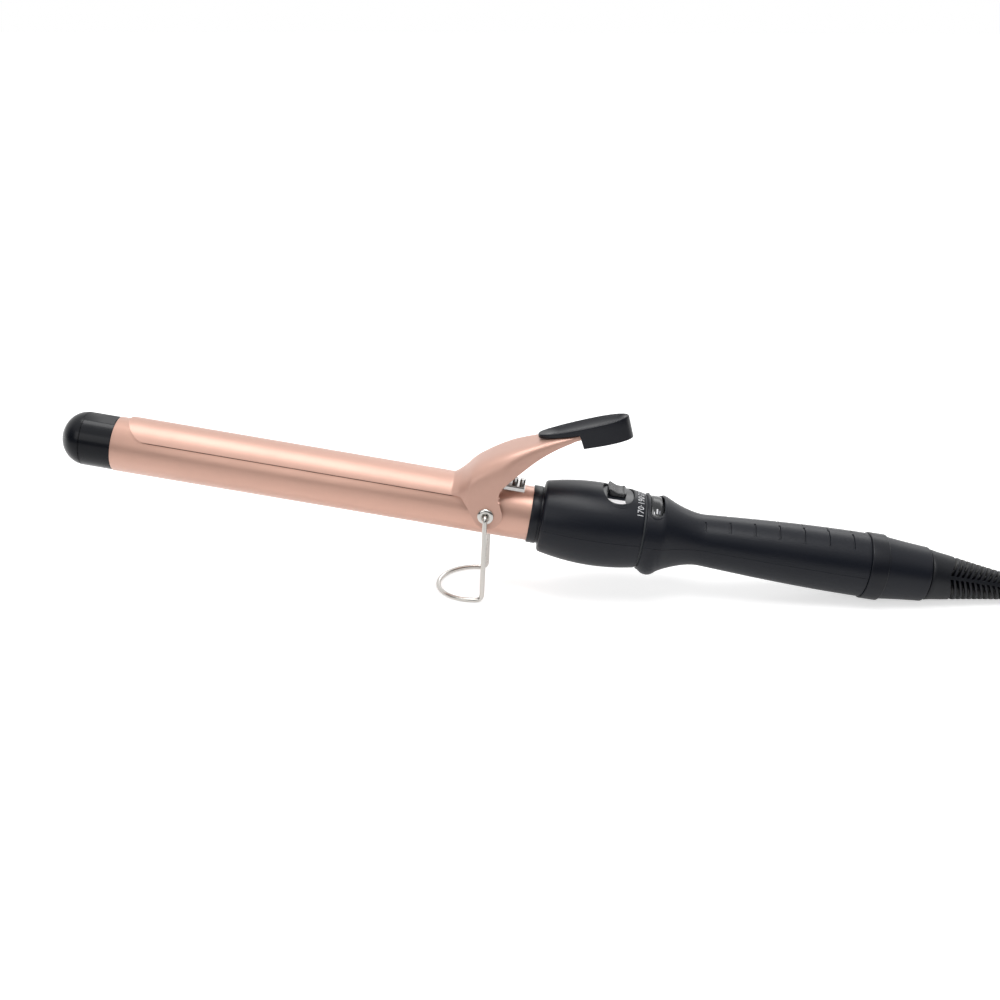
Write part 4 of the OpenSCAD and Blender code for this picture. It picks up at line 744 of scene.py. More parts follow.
def coolTipGrid():
    # the dome is a quarter ellipse; above the facet's height every point drops to it, and its rim stays sharp
    radius, facetTo = coolTip["radius"], coolTip["facetTo"]
    a = np.radians(np.concatenate([np.linspace(90, 12, 34), np.linspace(10, 0, 6)]))
    profile = [(radius * math.cos(t), coolTip["domeAt"] - coolTip["dome"] * math.sin(t)) for t in a]
    stations = (coolTip["facetFrom"], -182, -178, -174.5, facetTo - 0.01, facetTo + 0.01, -171.75)
    profile += [(radius, s) for s in stations]
    profile += [(radius - 0.12, coolTip["seat"])]
    rim = math.degrees(math.acos(coolTip["facet"] / radius))
    grid = spun(profile, np.sort(np.concatenate([np.arange(-177, 180, 3.0), [-rim, rim]])))
    over = (grid[..., 0] > coolTip["facetFrom"]) & (grid[..., 0] < facetTo)
    grid[..., 2] = np.where(over, np.minimum(grid[..., 2], coolTip["facet"]), grid[..., 2])
    return grid


makePiece("coolTip", [sheetOf(coolTipGrid(), around=True)], onBarrel, "iron", "coolTip",
          ["cool_tip"], sharp=28)
collar = [(12.5, 19.9), (12.95, 19.9), (13.2, 19.98), (13.3, 20.2), (13.3, 23.8), (13.2, 24.02), (13.0, 24.1),
          (13.0, 26.9), (12.5, 26.9)]
makePiece("heatCollar", [turnedOf(collar, 144, closed=True)], onBarrel, "iron", "trimBlack",
          ["heat_collar"])
print("barrel and tip made")

# blade, saddle, lever and ears are one bent sheet
sheet = {"wall": 0.7, "outer": 13.5, "wrap": 57.0, "half": 14.17, "ear": 14.2, "front": 9.2,
         "frontAt": -166.2, "bladeEnd": -17.6, "saddle": (-17, -9.8), "end": 50, "earRadius": 6.6,
         "earAt": (0.8, 1.5)}
# each row: station, crown height over the blade's top, side inset, lower end of the crown, squareness,
# lower edge, folded share
leverRows = np.array([
    [-157, 0, 2.8, 7.4, 2, 7.3, 0], [-17, 0, 2.8, 7.4, 2, 7.3, 0], [-14, 2.4, 1.8, 7.6, 2.2, 7.4, 0.35],
    [-11.8, 4.5, 0.8, 7.8, 2.5, 7.1, 0.75], [-9.5, 7, 0, 8.6, 2.8, 4.6, 1], [-7, 9.4, 0, 9.4, 3.1, 5, 1],
    [-4, 11.7, 0, 10, 3.4, 8, 1], [0, 14.4, 0, 11, 3.8, 11, 1], [5, 17.3, 0.2, 15, 4.2, 15, 1],
    [10, 19.8, 1.6, 20.8, 4.6, 20.8, 1], [18, 23.3, 4.4, 29, 5, 29, 1], [25, 26.2, 6, 34.8, 5, 34.8, 1],
    [32, 28.7, 7.6, 39.2, 5, 39.2, 1], [36, 30.4, 8.6, 41.2, 5, 41.2, 1], [50, 36.3, 9.6, 46.8, 5, 46.8, 1]])


def leverAt(stations):
    # Catmull-Rom between the rows, behind the straight blade; the station itself is interpolated too
    fine = splined(leverRows[1:], 24)
    order = np.maximum.accumulate(fine[:, 0])
    found = np.stack([np.interp(stations, order, fine[:, k]) for k in range(7)], -1)
    found[:, 0] = stations
    return found


def crownAt(rows, k, wrap):
    # bowed: an arc of the blade's radius; folded: a superellipse down to the crown's lower end
    top, half = sheet["outer"] + rows[:, 1:2], sheet["half"] - rows[:, 2:3]
    turn, a = np.radians(wrap[:, None] * k), math.pi / 2 * k
    bowed = np.stack([-sheet["outer"] * np.sin(turn), top - sheet["outer"] * (1 - np.cos(turn))], -1)
    power = 2 / rows[:, 4:5]
    up = rows[:, 3:4] + (top - rows[:, 3:4]) * np.abs(np.cos(a)) ** power
    share = rows[:, 6:7, None]
    return bowed * (1 - share) + np.stack([-half * signedPower(np.sin(a), power), up], -1) * share


def earLine():
    # an ear's outline from the blade to the neck, with the crown's station that each of its points hangs from
    arc = np.radians(np.linspace(215, 378, 34))
    ring = np.stack([np.cos(arc), np.sin(arc)], -1) * sheet["earRadius"] + sheet["earAt"]
    neck = [(5.9, 6.2), (4.8, 8.6), (4.25, 11), (4.4, 13.2), (5.0, 15.0)]
    lower = resampled(np.concatenate([[(-9.35, 4.7)], ring, neck]), 0.8)
    far = distances(lower)
    marks = far[-1] * np.array([0, 0.17, 0.36, 0.66, 0.8, 0.9, 1])
    return lower, np.interp(far, marks, [-9.4, -7.2, -2.6, 1.4, 2.9, 3.8, 5.0])


def clampParts():
    # the crown over all stations, and on each side a ruled patch from the crown's edge down to the lower line
    even = np.linspace(-1, 1, 65)
    k = (0.35 * np.sin(even * math.pi / 2) + 0.65 * even)[None]
    a = np.radians(np.concatenate([[0], np.linspace(5, 85, 17)]))
    front = np.repeat(leverRows[:1], len(a), 0)
    front[:, 0] = sheet["frontAt"] + sheet["front"] * (1 - np.cos(a))
    frontWrap = np.degrees(np.arcsin(math.sin(math.radians(sheet["wrap"])) * np.sin(a)))
    blade = np.repeat(leverRows[:1], 30, 0)
    blade[:, 0] = np.linspace(leverRows[0, 0], sheet["bladeEnd"], 30)
    lower, upper = earLine()
    rise = np.linspace(*sheet["saddle"], 14)
    stations = np.concatenate([rise, upper, np.linspace(5.4, sheet["end"], 56)])
    rows = np.concatenate([front, blade, leverAt(stations)])
    wrap = np.concatenate([frontWrap, np.full(len(rows) - len(front), sheet["wrap"])])
    crown = crownAt(rows, k, wrap)
    grid = np.concatenate([np.repeat(rows[:, :1], k.shape[1], 1)[..., None], crown], -1)
    first = len(front) + len(blade)
    underEdge = grid[first:first + len(rise), -1, 2] - 0.05 * np.arange(len(rise)) / 5
    dropped = np.minimum(rows[first:first + len(rise), 5], underEdge)
    bottom = np.concatenate([np.stack([rise, dropped], -1), lower])
    parts = [sheetOf(grid)]
    for column in (0, -1):
        edge = grid[first:first + len(bottom), column]
        outY = np.where(bottom[:, 0] > -9.4, np.sign(edge[-1, 1]) * sheet["ear"], edge[:, 1])
        base = np.stack([bottom[:, 0], outY, bottom[:, 1]], -1)
        v = np.linspace(0, 1, 15)[None, :, None]
        parts.append(sheetOf(edge[:, None] * (1 - v) + base[:, None] * v, flip=column == 0))
    return parts


hairClamp = makePiece("hairClamp", clampParts(), onBarrel, "clamp", "roseClamp", ["hair_clamp"],
                      sharp=50, merge=0.01)
thicken(hairClamp, sheet["wall"], bevel=0.12, limit=60)

pad = {"at": (17.0, 0.0, 39.0), "slope": math.degrees(math.atan(0.42)), "length": 41.2, "half": 6.8,
       "widest": 23.0, "blunt": 0.36, "dishDepth": 1.4, "rim": 0.55, "frontLift": 0.15, "foot": 0.2,
       "close": [18.2, 18.45, 18.6, 18.75, 18.9, 19.2],
       "under": ([-1, 7.8, 15.2, 18.5, 18.9, 43], [-1.5, -2.1, -2.7, -2.85, -9.3, -10.6])}


def onPad(points):
    # along the lever's end, which slopes up
    return onBarrel(turnY(points, -pad["slope"]) + pad["at"])


def padGrid():
    # rings that follow the pad's plan: over the dished top, round the rim, down the side, across underneath
    length, widest, rim, foot = pad["length"], pad["widest"], pad["rim"], pad["foot"]
    x = length * (1 - np.cos(np.linspace(0, math.pi, 61))) / 2
    x = np.unique(np.concatenate([x, pad["close"]]))
    fore = np.sin(math.pi / 2 * np.minimum(x / widest, 1)) ** pad["blunt"]
    aft = np.sqrt(np.maximum(1 - (np.maximum(x - widest, 0) / (length - widest)) ** 2.4, 0))
    half = np.where(x < widest, pad["half"] * fore, pad["half"] * aft)
    plan = np.concatenate([np.stack([x, -half], -1), np.stack([x, half], -1)[-2:0:-1]])
    inward = leftOf(plan, closed=True)
    rings = []

    def ring(inset, across, z):
        at = plan + inward * np.minimum(inset, 0.9 * np.abs(plan[:, 1:2]) + 0.12)
        at = at * (1, across)
        rings.append(np.concatenate([at, z(at)[:, None]], 1))

    def top(at):
        reach = np.interp(at[:, 0], x, half) - rim + 0.01
        hollow = -pad["dishDepth"] * np.clip(1 - (at[:, 1] / np.maximum(reach, 0.3)) ** 2, 0, 1)
        lift = pad["frontLift"] * (1 - smoothStep(at[:, 0] / 9))
        return hollow * smoothStep((at[:, 0] - 2) / 9) * smoothStep((length - 0.8 - at[:, 0]) / 4) + lift

    def under(at):
        return np.interp(at[:, 0], *pad["under"])

    for across in np.linspace(0, 1, 12)[:-1]:
        ring(rim, across, top)
    for a in np.radians(np.linspace(0, 90, 6)):
        ring(rim * (1 - math.sin(a)), 1, lambda at: top(at) - rim * (1 - math.cos(a)))
    for share in (0.35, 0.7):
        ring(0, 1, lambda at: (top(at) - rim) * (1 - share) + (under(at) + foot) * share)
    ring(0, 1, lambda at: under(at) + foot)
    ring(foot, 1, under)
    for across in np.linspace(1, 0, 8)[1:]:
        ring(foot, across, under)
    return np.array(rings)


makePiece("thumbPad", [sheetOf(padGrid(), around=True)], onPad, "clamp", "thumbPad",
          ["thumb_pad"], sharp=38, merge=0.01)
print("clamp and pad made")

eyelet = [(1.15, 9.9), (3.3, 9.9), (3.3, 10.6), (2.4, 10.6), (2.4, 14.25), (3.72, 14.25), (3.78, 14.5),
          (3.66, 14.85), (3.3, 15.2), (2.8, 15.42), (2.3, 15.46), (1.85, 15.38), (1.45, 15.16), (1.22, 14.85),
          (1.15, 14.4)]
rivet = spunAcross(eyelet, 64)
rivetParts = [sheetOf(rivet * (1, side, 1) + (0, 0, stance["pivotRise"]), around=True, along=True)
              for side in (-1, 1)]
makePiece("pivotRivets", rivetParts, onBarrel, "iron", "chrome", ["pivot_rivets"], sharp=40)

leaf = {"wall": 0.5, "width": 8.0, "bend": 3.0, "bendAt": (-3.0, 16.45), "touch": 6.4, "corner": 0.14,
        "gap": 0.3, "foot": [(15.3, 13.45), (8, 13.45)],
        "upper": [(-1.6, -1.15), (-0.6, -0.25), (0, 0), (2.1, 0.2)]}
leafTop = sheet["outer"] + float(np.interp(leaf["touch"], leverRows[:, 0], leverRows[:, 1]))


def leafGrid():
    # hairpin strip with a rounded section: foot, a round bend towards the tip, up to the inside of the lever
    touch = np.array([leaf["touch"], leafTop - sheet["wall"] - leaf["wall"] / 2 - leaf["gap"]])
    a = np.radians(np.linspace(270, 137.5, 22))
    bend = leaf["bendAt"] + leaf["bend"] * np.stack([np.cos(a), np.sin(a)], -1)
    line = resampled(np.concatenate([leaf["foot"], bend, touch + leaf["upper"]]), 1.2)
    up = leftOf(line)
    w, t, c = leaf["width"] / 2, leaf["wall"] / 2, leaf["corner"]
    section = [(w - c, t), (w, t - c), (w, c - t), (w - c, -t), (c - w, -t), (-w, c - t), (-w, t - c),
               (c - w, t)]
    columns = [np.stack([line[:, 0] + v * up[:, 0], u + 0 * line[:, 0], line[:, 1] + v * up[:, 1]], -1)
               for u, v in section]
    return np.stack(columns, 1)


# in the iron the foot stays on the barrel and the upper end goes down with the lever; this piece is put in
# place on no body and keeps its shape
leverSpring = makePiece("leverSpring", [cappedOf(leafGrid())], onBarrel, None, "springSteel",
                        ["lever_spring"])
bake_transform(leverSpring)

stand = {"wire": 1.1, "half": 17.2, "lean": 2.4, "hook": 1.7, "start": 10.3, "footBend": 3.0, "footArm": 4.5}


def standPath():
    # from one rivet out, down a leaning leg, along the table, round a half circle and back up the other side
    half, high, low = stand["half"], stance["pivotHeight"], stand["wire"]
    heel = -(high - low) * math.tan(math.radians(stand["lean"]))
    front = heel - stand["footArm"]
    leg = filleted([(0, stand["start"], high), (0, half, high), (heel, half, low), (front, half, low)],
                   [stand["hook"], stand["footBend"]], 12)
    a = np.radians(np.linspace(90, 270, 49)[1:-1])
    bow = np.stack([front + half * np.cos(a), half * np.sin(a), low + 0 * a], -1)
    return resampled(np.concatenate([leg, bow, leg[::-1] * (1, -1, 1)]), 1.5) + (stance["shiftX"], 0, 0)


makePiece("wireStand", [cappedOf(rodOf(standPath(), stand["wire"], 24))], onTable, "stand", "standWire",
          ["wire_stand"])
print("rivets, spring and stand made")

handle = {"collarEnd": 80.4, "collar": 17.75, "waist": 11.8, "flare": 18.6, "swell": 2.9, "swellLength": 73.0,
          "lobeAt": 76.4, "lobe": 17.86, "lobeDrop": 2.0, "lobeHalf": 4.4, "lobeSoft": 0.5, "wall": 1.2,
          "seam": 0.08, "seamFrom": 89.2, "seamOver": 0.8, "housing": 19.3, "housingAt": 50,
          "housingDrop": 1.95, "housingReach": 20}
grooves = {"first": 99.0, "pitch": 11.17, "half": 0.45, "depth": 0.5, "flank": 0.14, "flankIn": 0.12,
           "fade": 1.5, "marks": (-0.6, -0.48, -0.34, 0, 0.34, 0.48, 0.6),
           "spans": [(25, 43), (18, 42), (13, 41), (9, 41), (6, 42), (4, 40), (7, 39)]}


def housingRadius(s):
    # a barrel shape: its widest radius less a square of the distance from the widest station
    away = (s - handle["housingAt"]) / handle["housingReach"]
    return handle["housing"] - handle["housingDrop"] * away ** 2


def gripProfile(s):
    # the collar's radius, then a power curve down to the waist, then a slow sine swell
    flared = np.clip(1 - (s - handle["collarEnd"] + 0.2) / (handle["flare"] + 0.2), 0, 1) ** 1.7
    flared = handle["waist"] + (handle["collar"] - handle["waist"] - 0.1) * flared
    turn = np.radians(np.clip(90 * (s - grooves["first"]) / handle["swellLength"], 0, 92))
    swell = handle["waist"] + handle["swell"] * np.sin(turn)
    return np.where(s < handle["collarEnd"], handle["collar"], np.where(s < grooves["first"], flared, swell))


def gripRadius(s):
    # the moulded shape is softer than its profile: the mean over a short stretch
    return sum(gripProfile(s + d) for d in (-1.2, -0.6, 0, 0.6, 1.2)) / 5


def seamDip(a):
    # the shells' long edges roll in a little where they meet; a is measured from the middle of the half shell
    return handle["seam"] * np.clip((np.abs(a) - handle["seamFrom"]) / handle["seamOver"], 0, 1) ** 2


def groovedGrip(s, a):
    # seven short grooves on each side, with steep flanks and soft ends, off the grip's radius
    dip = 0 * s
    for i, (start, end) in enumerate(grooves["spans"]):
        off = np.abs(s - grooves["first"] - grooves["pitch"] * i)
        across = 1 - smoothStep((off - grooves["half"] + grooves["flankIn"]) / grooves["flank"])
        along = smoothStep((np.abs(a) - start + 3) / grooves["fade"])
        along = along * smoothStep((end + 2 - np.abs(a)) / grooves["fade"])
        dip = dip + grooves["depth"] * across * along
    return gripRadius(s) - dip


def lobedGrip(s, a):
    # under the collar a lobe of larger arcs, about a lower axis, meets it at mid height; the larger of the
    # two is taken with a soft change between them, and a is from the bottom
    radius = gripRadius(s)
    lobe = np.maximum(handle["lobe"] - 2.4 * np.abs((s - handle["lobeAt"]) / handle["lobeHalf"]) ** 2.2, 2.5)
    low, turn = handle["lobeDrop"], np.radians(a)
    out = low * np.cos(turn) + np.sqrt(np.maximum(lobe ** 2 - (low * np.sin(turn)) ** 2, 1))
    soft = handle["lobeSoft"] * np.cos(turn) ** 2
    return (radius + out + np.sqrt((radius - out) ** 2 + soft ** 2)) / 2


def stationsOf(*spans):
    # stations from spans of (start, end, cells)
    return np.unique(np.concatenate([np.linspace(start, end, cells + 1) for start, end, cells in spans]))


def shellPoint(s, a, radiusAt, middle, drop=0.0):
    # at station s and angle a from the half's middle line, the seam's dip and the drop taken off the radius
    return roundAxis(s, radiusAt(s, a) - seamDip(a) - drop, np.radians(a + middle))


def holeBorder(stations, angles, hole):
    # the rows and columns of the block a hole replaces, and a walk round it as stations and angles
    rows = np.flatnonzero((stations >= hole["s"][0] - 1e-4) & (stations <= hole["s"][1] + 1e-4))
    columns = np.flatnonzero(np.abs(angles) <= hole["a"] + 1e-4)
    border = [(i, columns[0]) for i in rows[:-1]] + [(rows[-1], j) for j in columns[:-1]]
    border += [(i, columns[-1]) for i in rows[:0:-1]] + [(rows[0], j) for j in columns[:0:-1]]
    return rows, columns, np.array([(stations[i], angles[j]) for i, j in border]).T


def holeRings(edgeS, edgeA, radiusAt, middle, hole):
    # rings up the hole's wall, round its lip and out to the block's border, all on the same rays
    edge = np.stack([edgeS, radiusAt(edgeS, edgeA) * np.sin(np.radians(edgeA))], -1)
    centre = np.array(hole["centre"])
    ray = np.arctan2(*(edge - centre).T[::-1])
    reach, lip = raysTo(hole["outline"], centre, ray), hole["lip"]
    direction = np.stack([np.cos(ray), np.sin(ray)], -1)
    down = np.array([0, math.sin(math.radians(middle)), -math.cos(math.radians(middle))])

    def onSurface(flat, depth):
        angle = np.degrees(np.arcsin(np.clip(flat[:, 1] / radiusAt(flat[:, 0], 0 * flat[:, 0]), -1, 1)))
        return shellPoint(flat[:, 0], angle, radiusAt, middle) + down * depth

    inner = centre + direction * reach[:, None]
    outer = centre + direction * (reach + lip)[:, None]
    rings = [onSurface(inner, hole["depth"]), onSurface(inner, lip + 0.4)]
    for b in np.radians(np.linspace(90, 0, 6)):
        onLip = centre + direction * (reach + lip * (1 - math.sin(b)))[:, None]
        rings.append(onSurface(onLip, lip * (1 - math.cos(b))))
    for t in np.linspace(0, 1, hole["rows"] + 1)[1:] ** 1.15:
        rings.append(onSurface(outer + (edge - outer) * t, 0))
    return sheetOf(np.array(rings), around=True)


def halfShell(stations, radii, angles, radiusAt, middle, holes=()):
    # rows (station, radius) and angles from the half's middle line; each hole replaces a block of cells
    s, a = np.meshgrid(stations, angles, indexing="ij")
    drop = radiusAt(s[:, :1], 0 * s[:, :1]) - np.asarray(radii)[:, None]
    verts, faces = sheetOf(shellPoint(s, a, radiusAt, middle, drop))
    keep = np.ones((len(stations) - 1, len(angles) - 1), bool)
    rings = []
    for hole in holes:
        rows, columns, (edgeS, edgeA) = holeBorder(stations, angles, hole)
        keep[rows[0]:rows[-1], columns[0]:columns[-1]] = False
        rings.append(holeRings(edgeS, edgeA, radiusAt, middle, hole))
    return [(verts, [cell for cell, kept in zip(faces, keep.ravel()) if kept])] + rings


seamLines = np.array([88.2, 88.8, 89.2, 89.6, 89.85, 90])


def shellAngles(half, columns, beyond):
    # fine columns over the middle, coarse ones beyond it and close ones at both seams
    return np.concatenate([-seamLines[::-1], np.arange(-84, -half, 4), np.linspace(-half, half, columns),
                           np.arange(beyond, 85, 4), seamLines])


screwRecess = {"radius": 2.55, "a": 15, "lip": 0.25, "depth": 3.0, "rows": 6}


def screwHole(station, reach):
    # a round hole for a case screw, in the block of cells between the two stations of its reach
    outline = superOval(station, screwRecess["radius"], screwRecess["radius"], 1, 72)
    return {**screwRecess, "s": reach, "centre": (station, 0), "outline": outline}


def handleShell(name, parts, stands):
    shell = makePiece(name, parts, onHandle, "iron", "handleBlack", [stands], sharp=50,
                      merge=0.004)
    thicken(shell, handle["wall"])


# both shells have rounded ends, given as stations with a radius or a drop from the shape's own radius
housingEnds = {"frontS": [25.0, 25.0, 25.06, 25.25, 25.6, 26.1, 26.8],
               "frontR": [13.6, 15.0, 15.35, 15.85, 16.25, 16.5, 16.7],
               "rearS": [70.3, 70.5, 70.6, 70.6], "rearDrop": [0.03, 0.15, 0.4, 3.0]}
gripEnds = {"frontS": [71.4, 71.4, 71.46, 71.6, 71.78], "frontDrop": [2.6, 0.4, 0.2, 0.06, 0.0],
            "rearS": [174.3, 174.4], "rearDrop": [0.1, 0.6]}
sameStation = 1e-7  # rows at one station are kept in order by this much


def housingHalf(middle, stations, holes, angles):
    # the front end, the stations between and the rear end as one half shell
    every = np.concatenate([housingEnds["frontS"], stations, housingEnds["rearS"]])
    rear = housingRadius(np.array(housingEnds["rearS"])) - housingEnds["rearDrop"]
    radii = np.concatenate([housingEnds["frontR"], housingRadius(stations), rear])
    every = every + np.arange(len(every)) * sameStation
    return halfShell(every, radii, angles, lambda s, a: housingRadius(s), middle, holes)


def gripHalf(middle, stations, radiusAt, holes, angles):
    # the same for the grip, whose radius depends on the angle too
    every = np.concatenate([gripEnds["frontS"], stations, gripEnds["rearS"]])
    drop = np.concatenate([gripEnds["frontDrop"], 0 * stations, gripEnds["rearDrop"]])
    radii = radiusAt(every, 0 * every) - drop
    every = every + np.arange(len(every)) * sameStation
    return halfShell(every, radii, angles, radiusAt, middle, holes)


def grooveLines(start, end):
    # stations that follow each groove's flanks closely, and an even spread between them
    marks = [grooves["first"] + grooves["pitch"] * i + offset for i in range(len(grooves["spans"]))
             for offset in grooves["marks"]]
    return np.unique(np.round(np.concatenate([np.linspace(start, end, 60), marks]), 3))


dish = {"at": 58.0, "halfS": 7.3, "halfY": 10.9, "power": 0.86, "bezelGap": 0.05, "lensGap": 0.7}


def dishOval(gap, count=180):
    # the switch's dish seen from above, made smaller all round by the gap
    return superOval(dish["at"], dish["halfS"] - gap, dish["halfY"] - gap, dish["power"], count)


lowAngles = shellAngles(15, 21, 18)
dishHole = {"s": (48.5, 68.5), "a": 52, "centre": (dish["at"], 0), "outline": dishOval(0), "lip": 0.45,
            "depth": 3.2, "rows": 11}
windowCorners = [(72.6, 0), (72.6, 11.877), (79.2, 11.877), (79.2, -11.877), (72.6, -11.877), (72.6, 0)]
windowHole = {"s": (71.95, 79.9), "a": 52, "centre": (75.9, 0), "lip": 0.3, "depth": 2.6, "rows": 4,
              "outline": resampled(filleted(windowCorners, [3.28] * 4, 16), 0.3)[:-1]}
upperStations = stationsOf((27.3, 48.5, 24), (48.5, 68.5, 30), (68.5, 70, 3))
lowerStations = stationsOf((27.3, 42.5, 16), (42.5, 51.5, 12), (51.5, 60.5, 10), (60.5, 69.5, 12),
                           (69.5, 70, 1))
handleShell("housingUpper", housingHalf(0, upperStations, [dishHole], shellAngles(52, 53, 56)),
            "housing_upper")
screwHoles = [screwHole(47.0, (42.5, 51.5)), screwHole(65.0, (60.5, 69.5))]
handleShell("housingLower", housingHalf(180, lowerStations, screwHoles, lowAngles), "housing_lower")
upperStations = np.concatenate([stationsOf((71.95, 79.9, 14), (79.9, 80.4, 2), (80.5, 97.5, 26)),
                                grooveLines(98, 174)])
lowerStations = stationsOf((71.95, 80.4, 14), (80.5, 81, 1), (81, 89.5, 11), (89.5, 99, 10), (99, 174, 60))
gripScrew = screwHole(85.2, (81, 89.5))
handleShell("gripUpper", gripHalf(0, upperStations, groovedGrip, [windowHole], shellAngles(52, 105, 56)),
            "grip_upper")
handleShell("gripLower", gripHalf(180, lowerStations, lobedGrip, [gripScrew], lowAngles), "grip_lower")
print("handle shells made")

band = rounded([(12.4, 174.4), (15.3, 174.4, 0.45), (15.3, 182.3, 0.45), (12.4, 182.3)], 5)
makePiece("rearBand", [turnedOf(band, 144, closed=True)], onHandle, "iron", "trimBlack",
          ["rear_band"])
cap = {"from": 182.36, "to": 201.9, "radius": 12.55, "swell": 1.95, "length": 20.3,
       "rear": [(12.5, 202.4), (12.42, 202.52), (12.3, 202.58), (11.9, 202.6), (6.6, 202.6), (6.6, 199)]}
capS = np.linspace(cap["from"], cap["to"], 24)
capR = cap["radius"] + cap["swell"] * (1 - (capS - 182.3) / cap["length"]) ** 1.2
capFront = [(12.4, 182.31), (capR[0] - 0.25, 182.31)]
capLine = np.concatenate([capFront, np.stack([capR, capS], -1), cap["rear"]])


def onCap(points):
    # the cap's underside is flat where it stands on the table
    there = onHandle(points)
    there[..., 2] = np.maximum(there[..., 2], 0)
    return there


makePiece("rearCap", [turnedOf(capLine, 144, closed=True)], onCap, "iron", "handleBlack",
          ["rear_cap"], sharp=40)

boot = {"at": 202.9, "spineAt": 65.0, "spine": 0.8, "first": 8.6, "pitch": 2.5, "slot": 1.35, "slant": 4.2,
        "ribs": 16, "radius": 12.3, "fall": 1.9, "domeEnd": 9.5, "tailRadius": 4.3, "taper": 6.1,
        "taperLength": 45.6, "core": 3.2, "coreTaper": 0.12, "spineFade": 0.35,
        "dome": [0, 0.12, 0.4, 0.9, 1.6, 2.6, 3.8, 5, 6, 7, 7.8],
        "tail": [49.6, 51.2, 52.6, 53.8, 54.6, 55.0, 55.1],
        "rounding": ([0, 0.12, 0.4, 0.9, 1.6, 54.6, 55.0, 55.1], [1.9, 1.3, 0.7, 0.25, 0, 0, 0.25, 0.7])}


def bootRadius(x):
    # a dome that falls quickly, then a tail that tapers to the cord
    end = boot["domeEnd"]
    dome = boot["radius"] - boot["fall"] * np.clip(x / end, 0, 1) ** 0.6
    tail = boot["tailRadius"] + boot["taper"] * np.clip(1 - (x - end) / boot["taperLength"], 0, 1) ** 1.25
    return np.where(x < end, dome, tail)


def bootGrid():
    # rows follow the slots, which run back from the spines; the slots' depth stops short of each spine
    slot = boot["slot"]
    steps = [(-0.08, 0), (0, 0.12), (0.06, 1), (slot - 0.06, 1), (slot, 0.12), (slot + 0.08, 0), (1.95, 0)]
    marks = [(x, 0) for x in boot["dome"]]
    for rib in boot["first"] + boot["pitch"] * np.arange(boot["ribs"]):
        marks += [(rib + step, depth) for step, depth in steps]
    marks += [(x, 0) for x in boot["tail"]]
    x, cut = np.array(marks, float).T[..., None]
    near = np.arange(-24, 25, 1.5)
    angles = np.unique(boot["spineAt"] + np.concatenate([near, near + 180, np.arange(24, 157, 4),
                                                         np.arange(204, 337, 4)]))
    turn = np.radians(angles - boot["spineAt"])[None]
    slant = boot["slant"] * np.abs(np.sin(turn)) ** 1.2 * smoothStep((x - 4) / 6) * smoothStep((54 - x) / 8)
    along = x + slant
    outer = bootRadius(along)
    core = boot["core"] + (outer - boot["tailRadius"]) * boot["coreTaper"]
    clear = smoothStep((np.abs(np.sin(turn)) * outer - boot["spine"]) / boot["spineFade"])
    r = outer - (outer - core) * cut * clear - np.interp(x, *boot["rounding"])
    return roundAxis(boot["at"] + along, r, np.radians(angles))


makePiece("strainRelief", [cappedOf(bootGrid())], onHandle, "boot", "bootRubber",
          ["strain_relief"], sharp=45)
print("band, cap and boot made")

controls = {"floor": 16.988, "floorRadius": 44.7, "knobAt": 57.2, "knobHalf": 4.2, "knobWide": 5.2,
            "knobCorner": 1.4, "front": 20.0, "back": 18.9, "gap": 0.2, "dialAt": 75.9, "dialRadius": 16.9}


def dishFloor(flat):
    # the dish's floor is part of a wide cylinder that lies along the iron
    wide = controls["floorRadius"]
    return controls["floor"] - wide + np.sqrt(wide ** 2 - flat[..., 1] ** 2)


def raised(flat, heights):
    # a flat outline with a height at each of its points
    return np.concatenate([flat, (heights + 0 * flat[:, 0])[:, None]], 1)


def padOf(outline, baseAt, topAt, edge=0.2, rings=10):
    # a solid over a flat outline: walls, a rounded upper edge, and rings that close in on its middle
    inward, middle = leftOf(outline, closed=True), outline.mean(0)
    rows = [raised(outline, baseAt(outline))]
    for b in np.radians(np.linspace(0, 90, 5)):
        flat = outline + inward * edge * (1 - math.cos(b))
        rows.append(raised(flat, topAt(flat) - edge * (1 - math.sin(b))))
    for f in np.linspace(1, 0.02, rings)[1:]:
        closer = middle + (flat - middle) * f
        rows.append(raised(closer, topAt(closer)))
    return cappedOf(rows)


def bezelGrid():
    # rings from the slider's slot to the dish's rim, each with a share of the way and a drop from the floor
    centre, around = np.array([57.4, 0.0]), np.linspace(-math.pi, math.pi, 241)[:-1]
    direction = np.stack([np.cos(around), np.sin(around)], -1)
    slotReach = raysTo(roundedBox(centre, 3.7, 1.9, 0.3), centre, around)[:, None]
    rimReach = raysTo(dishOval(dish["bezelGap"], 480), centre, around)[:, None]
    steps = [(0, 1.1), (0, 0.12), (0.02, 0)] + [(t, 0) for t in np.linspace(0.06, 0.97, 14)]
    rows = []
    for t, drop in steps + [(0.99, 0.03), (1, 0.12), (1, 1.1)]:
        flat = centre + direction * (slotReach + (rimReach - slotReach) * t)
        rows.append(raised(flat, dishFloor(flat) - drop))
    return sheetOf(np.array(rows), around=True, along=True)


def lensOutline():
    # the near end of an oval a little smaller than the dish, cut straight and with a bite at one corner
    oval = dishOval(dish["lensGap"], 720)
    low = oval[(oval[:, 1] < -7.2) & (oval[:, 0] < 61.45)]
    bite = [(61.3, -8.9), (61.1, -8.4), (61.0, -7.6), (60.9, -7.2)]
    line = np.concatenate([low, bite, [(52.88, -7.2)]])
    return resampled(np.concatenate([line, line[:1]]), 0.3)[:-1]


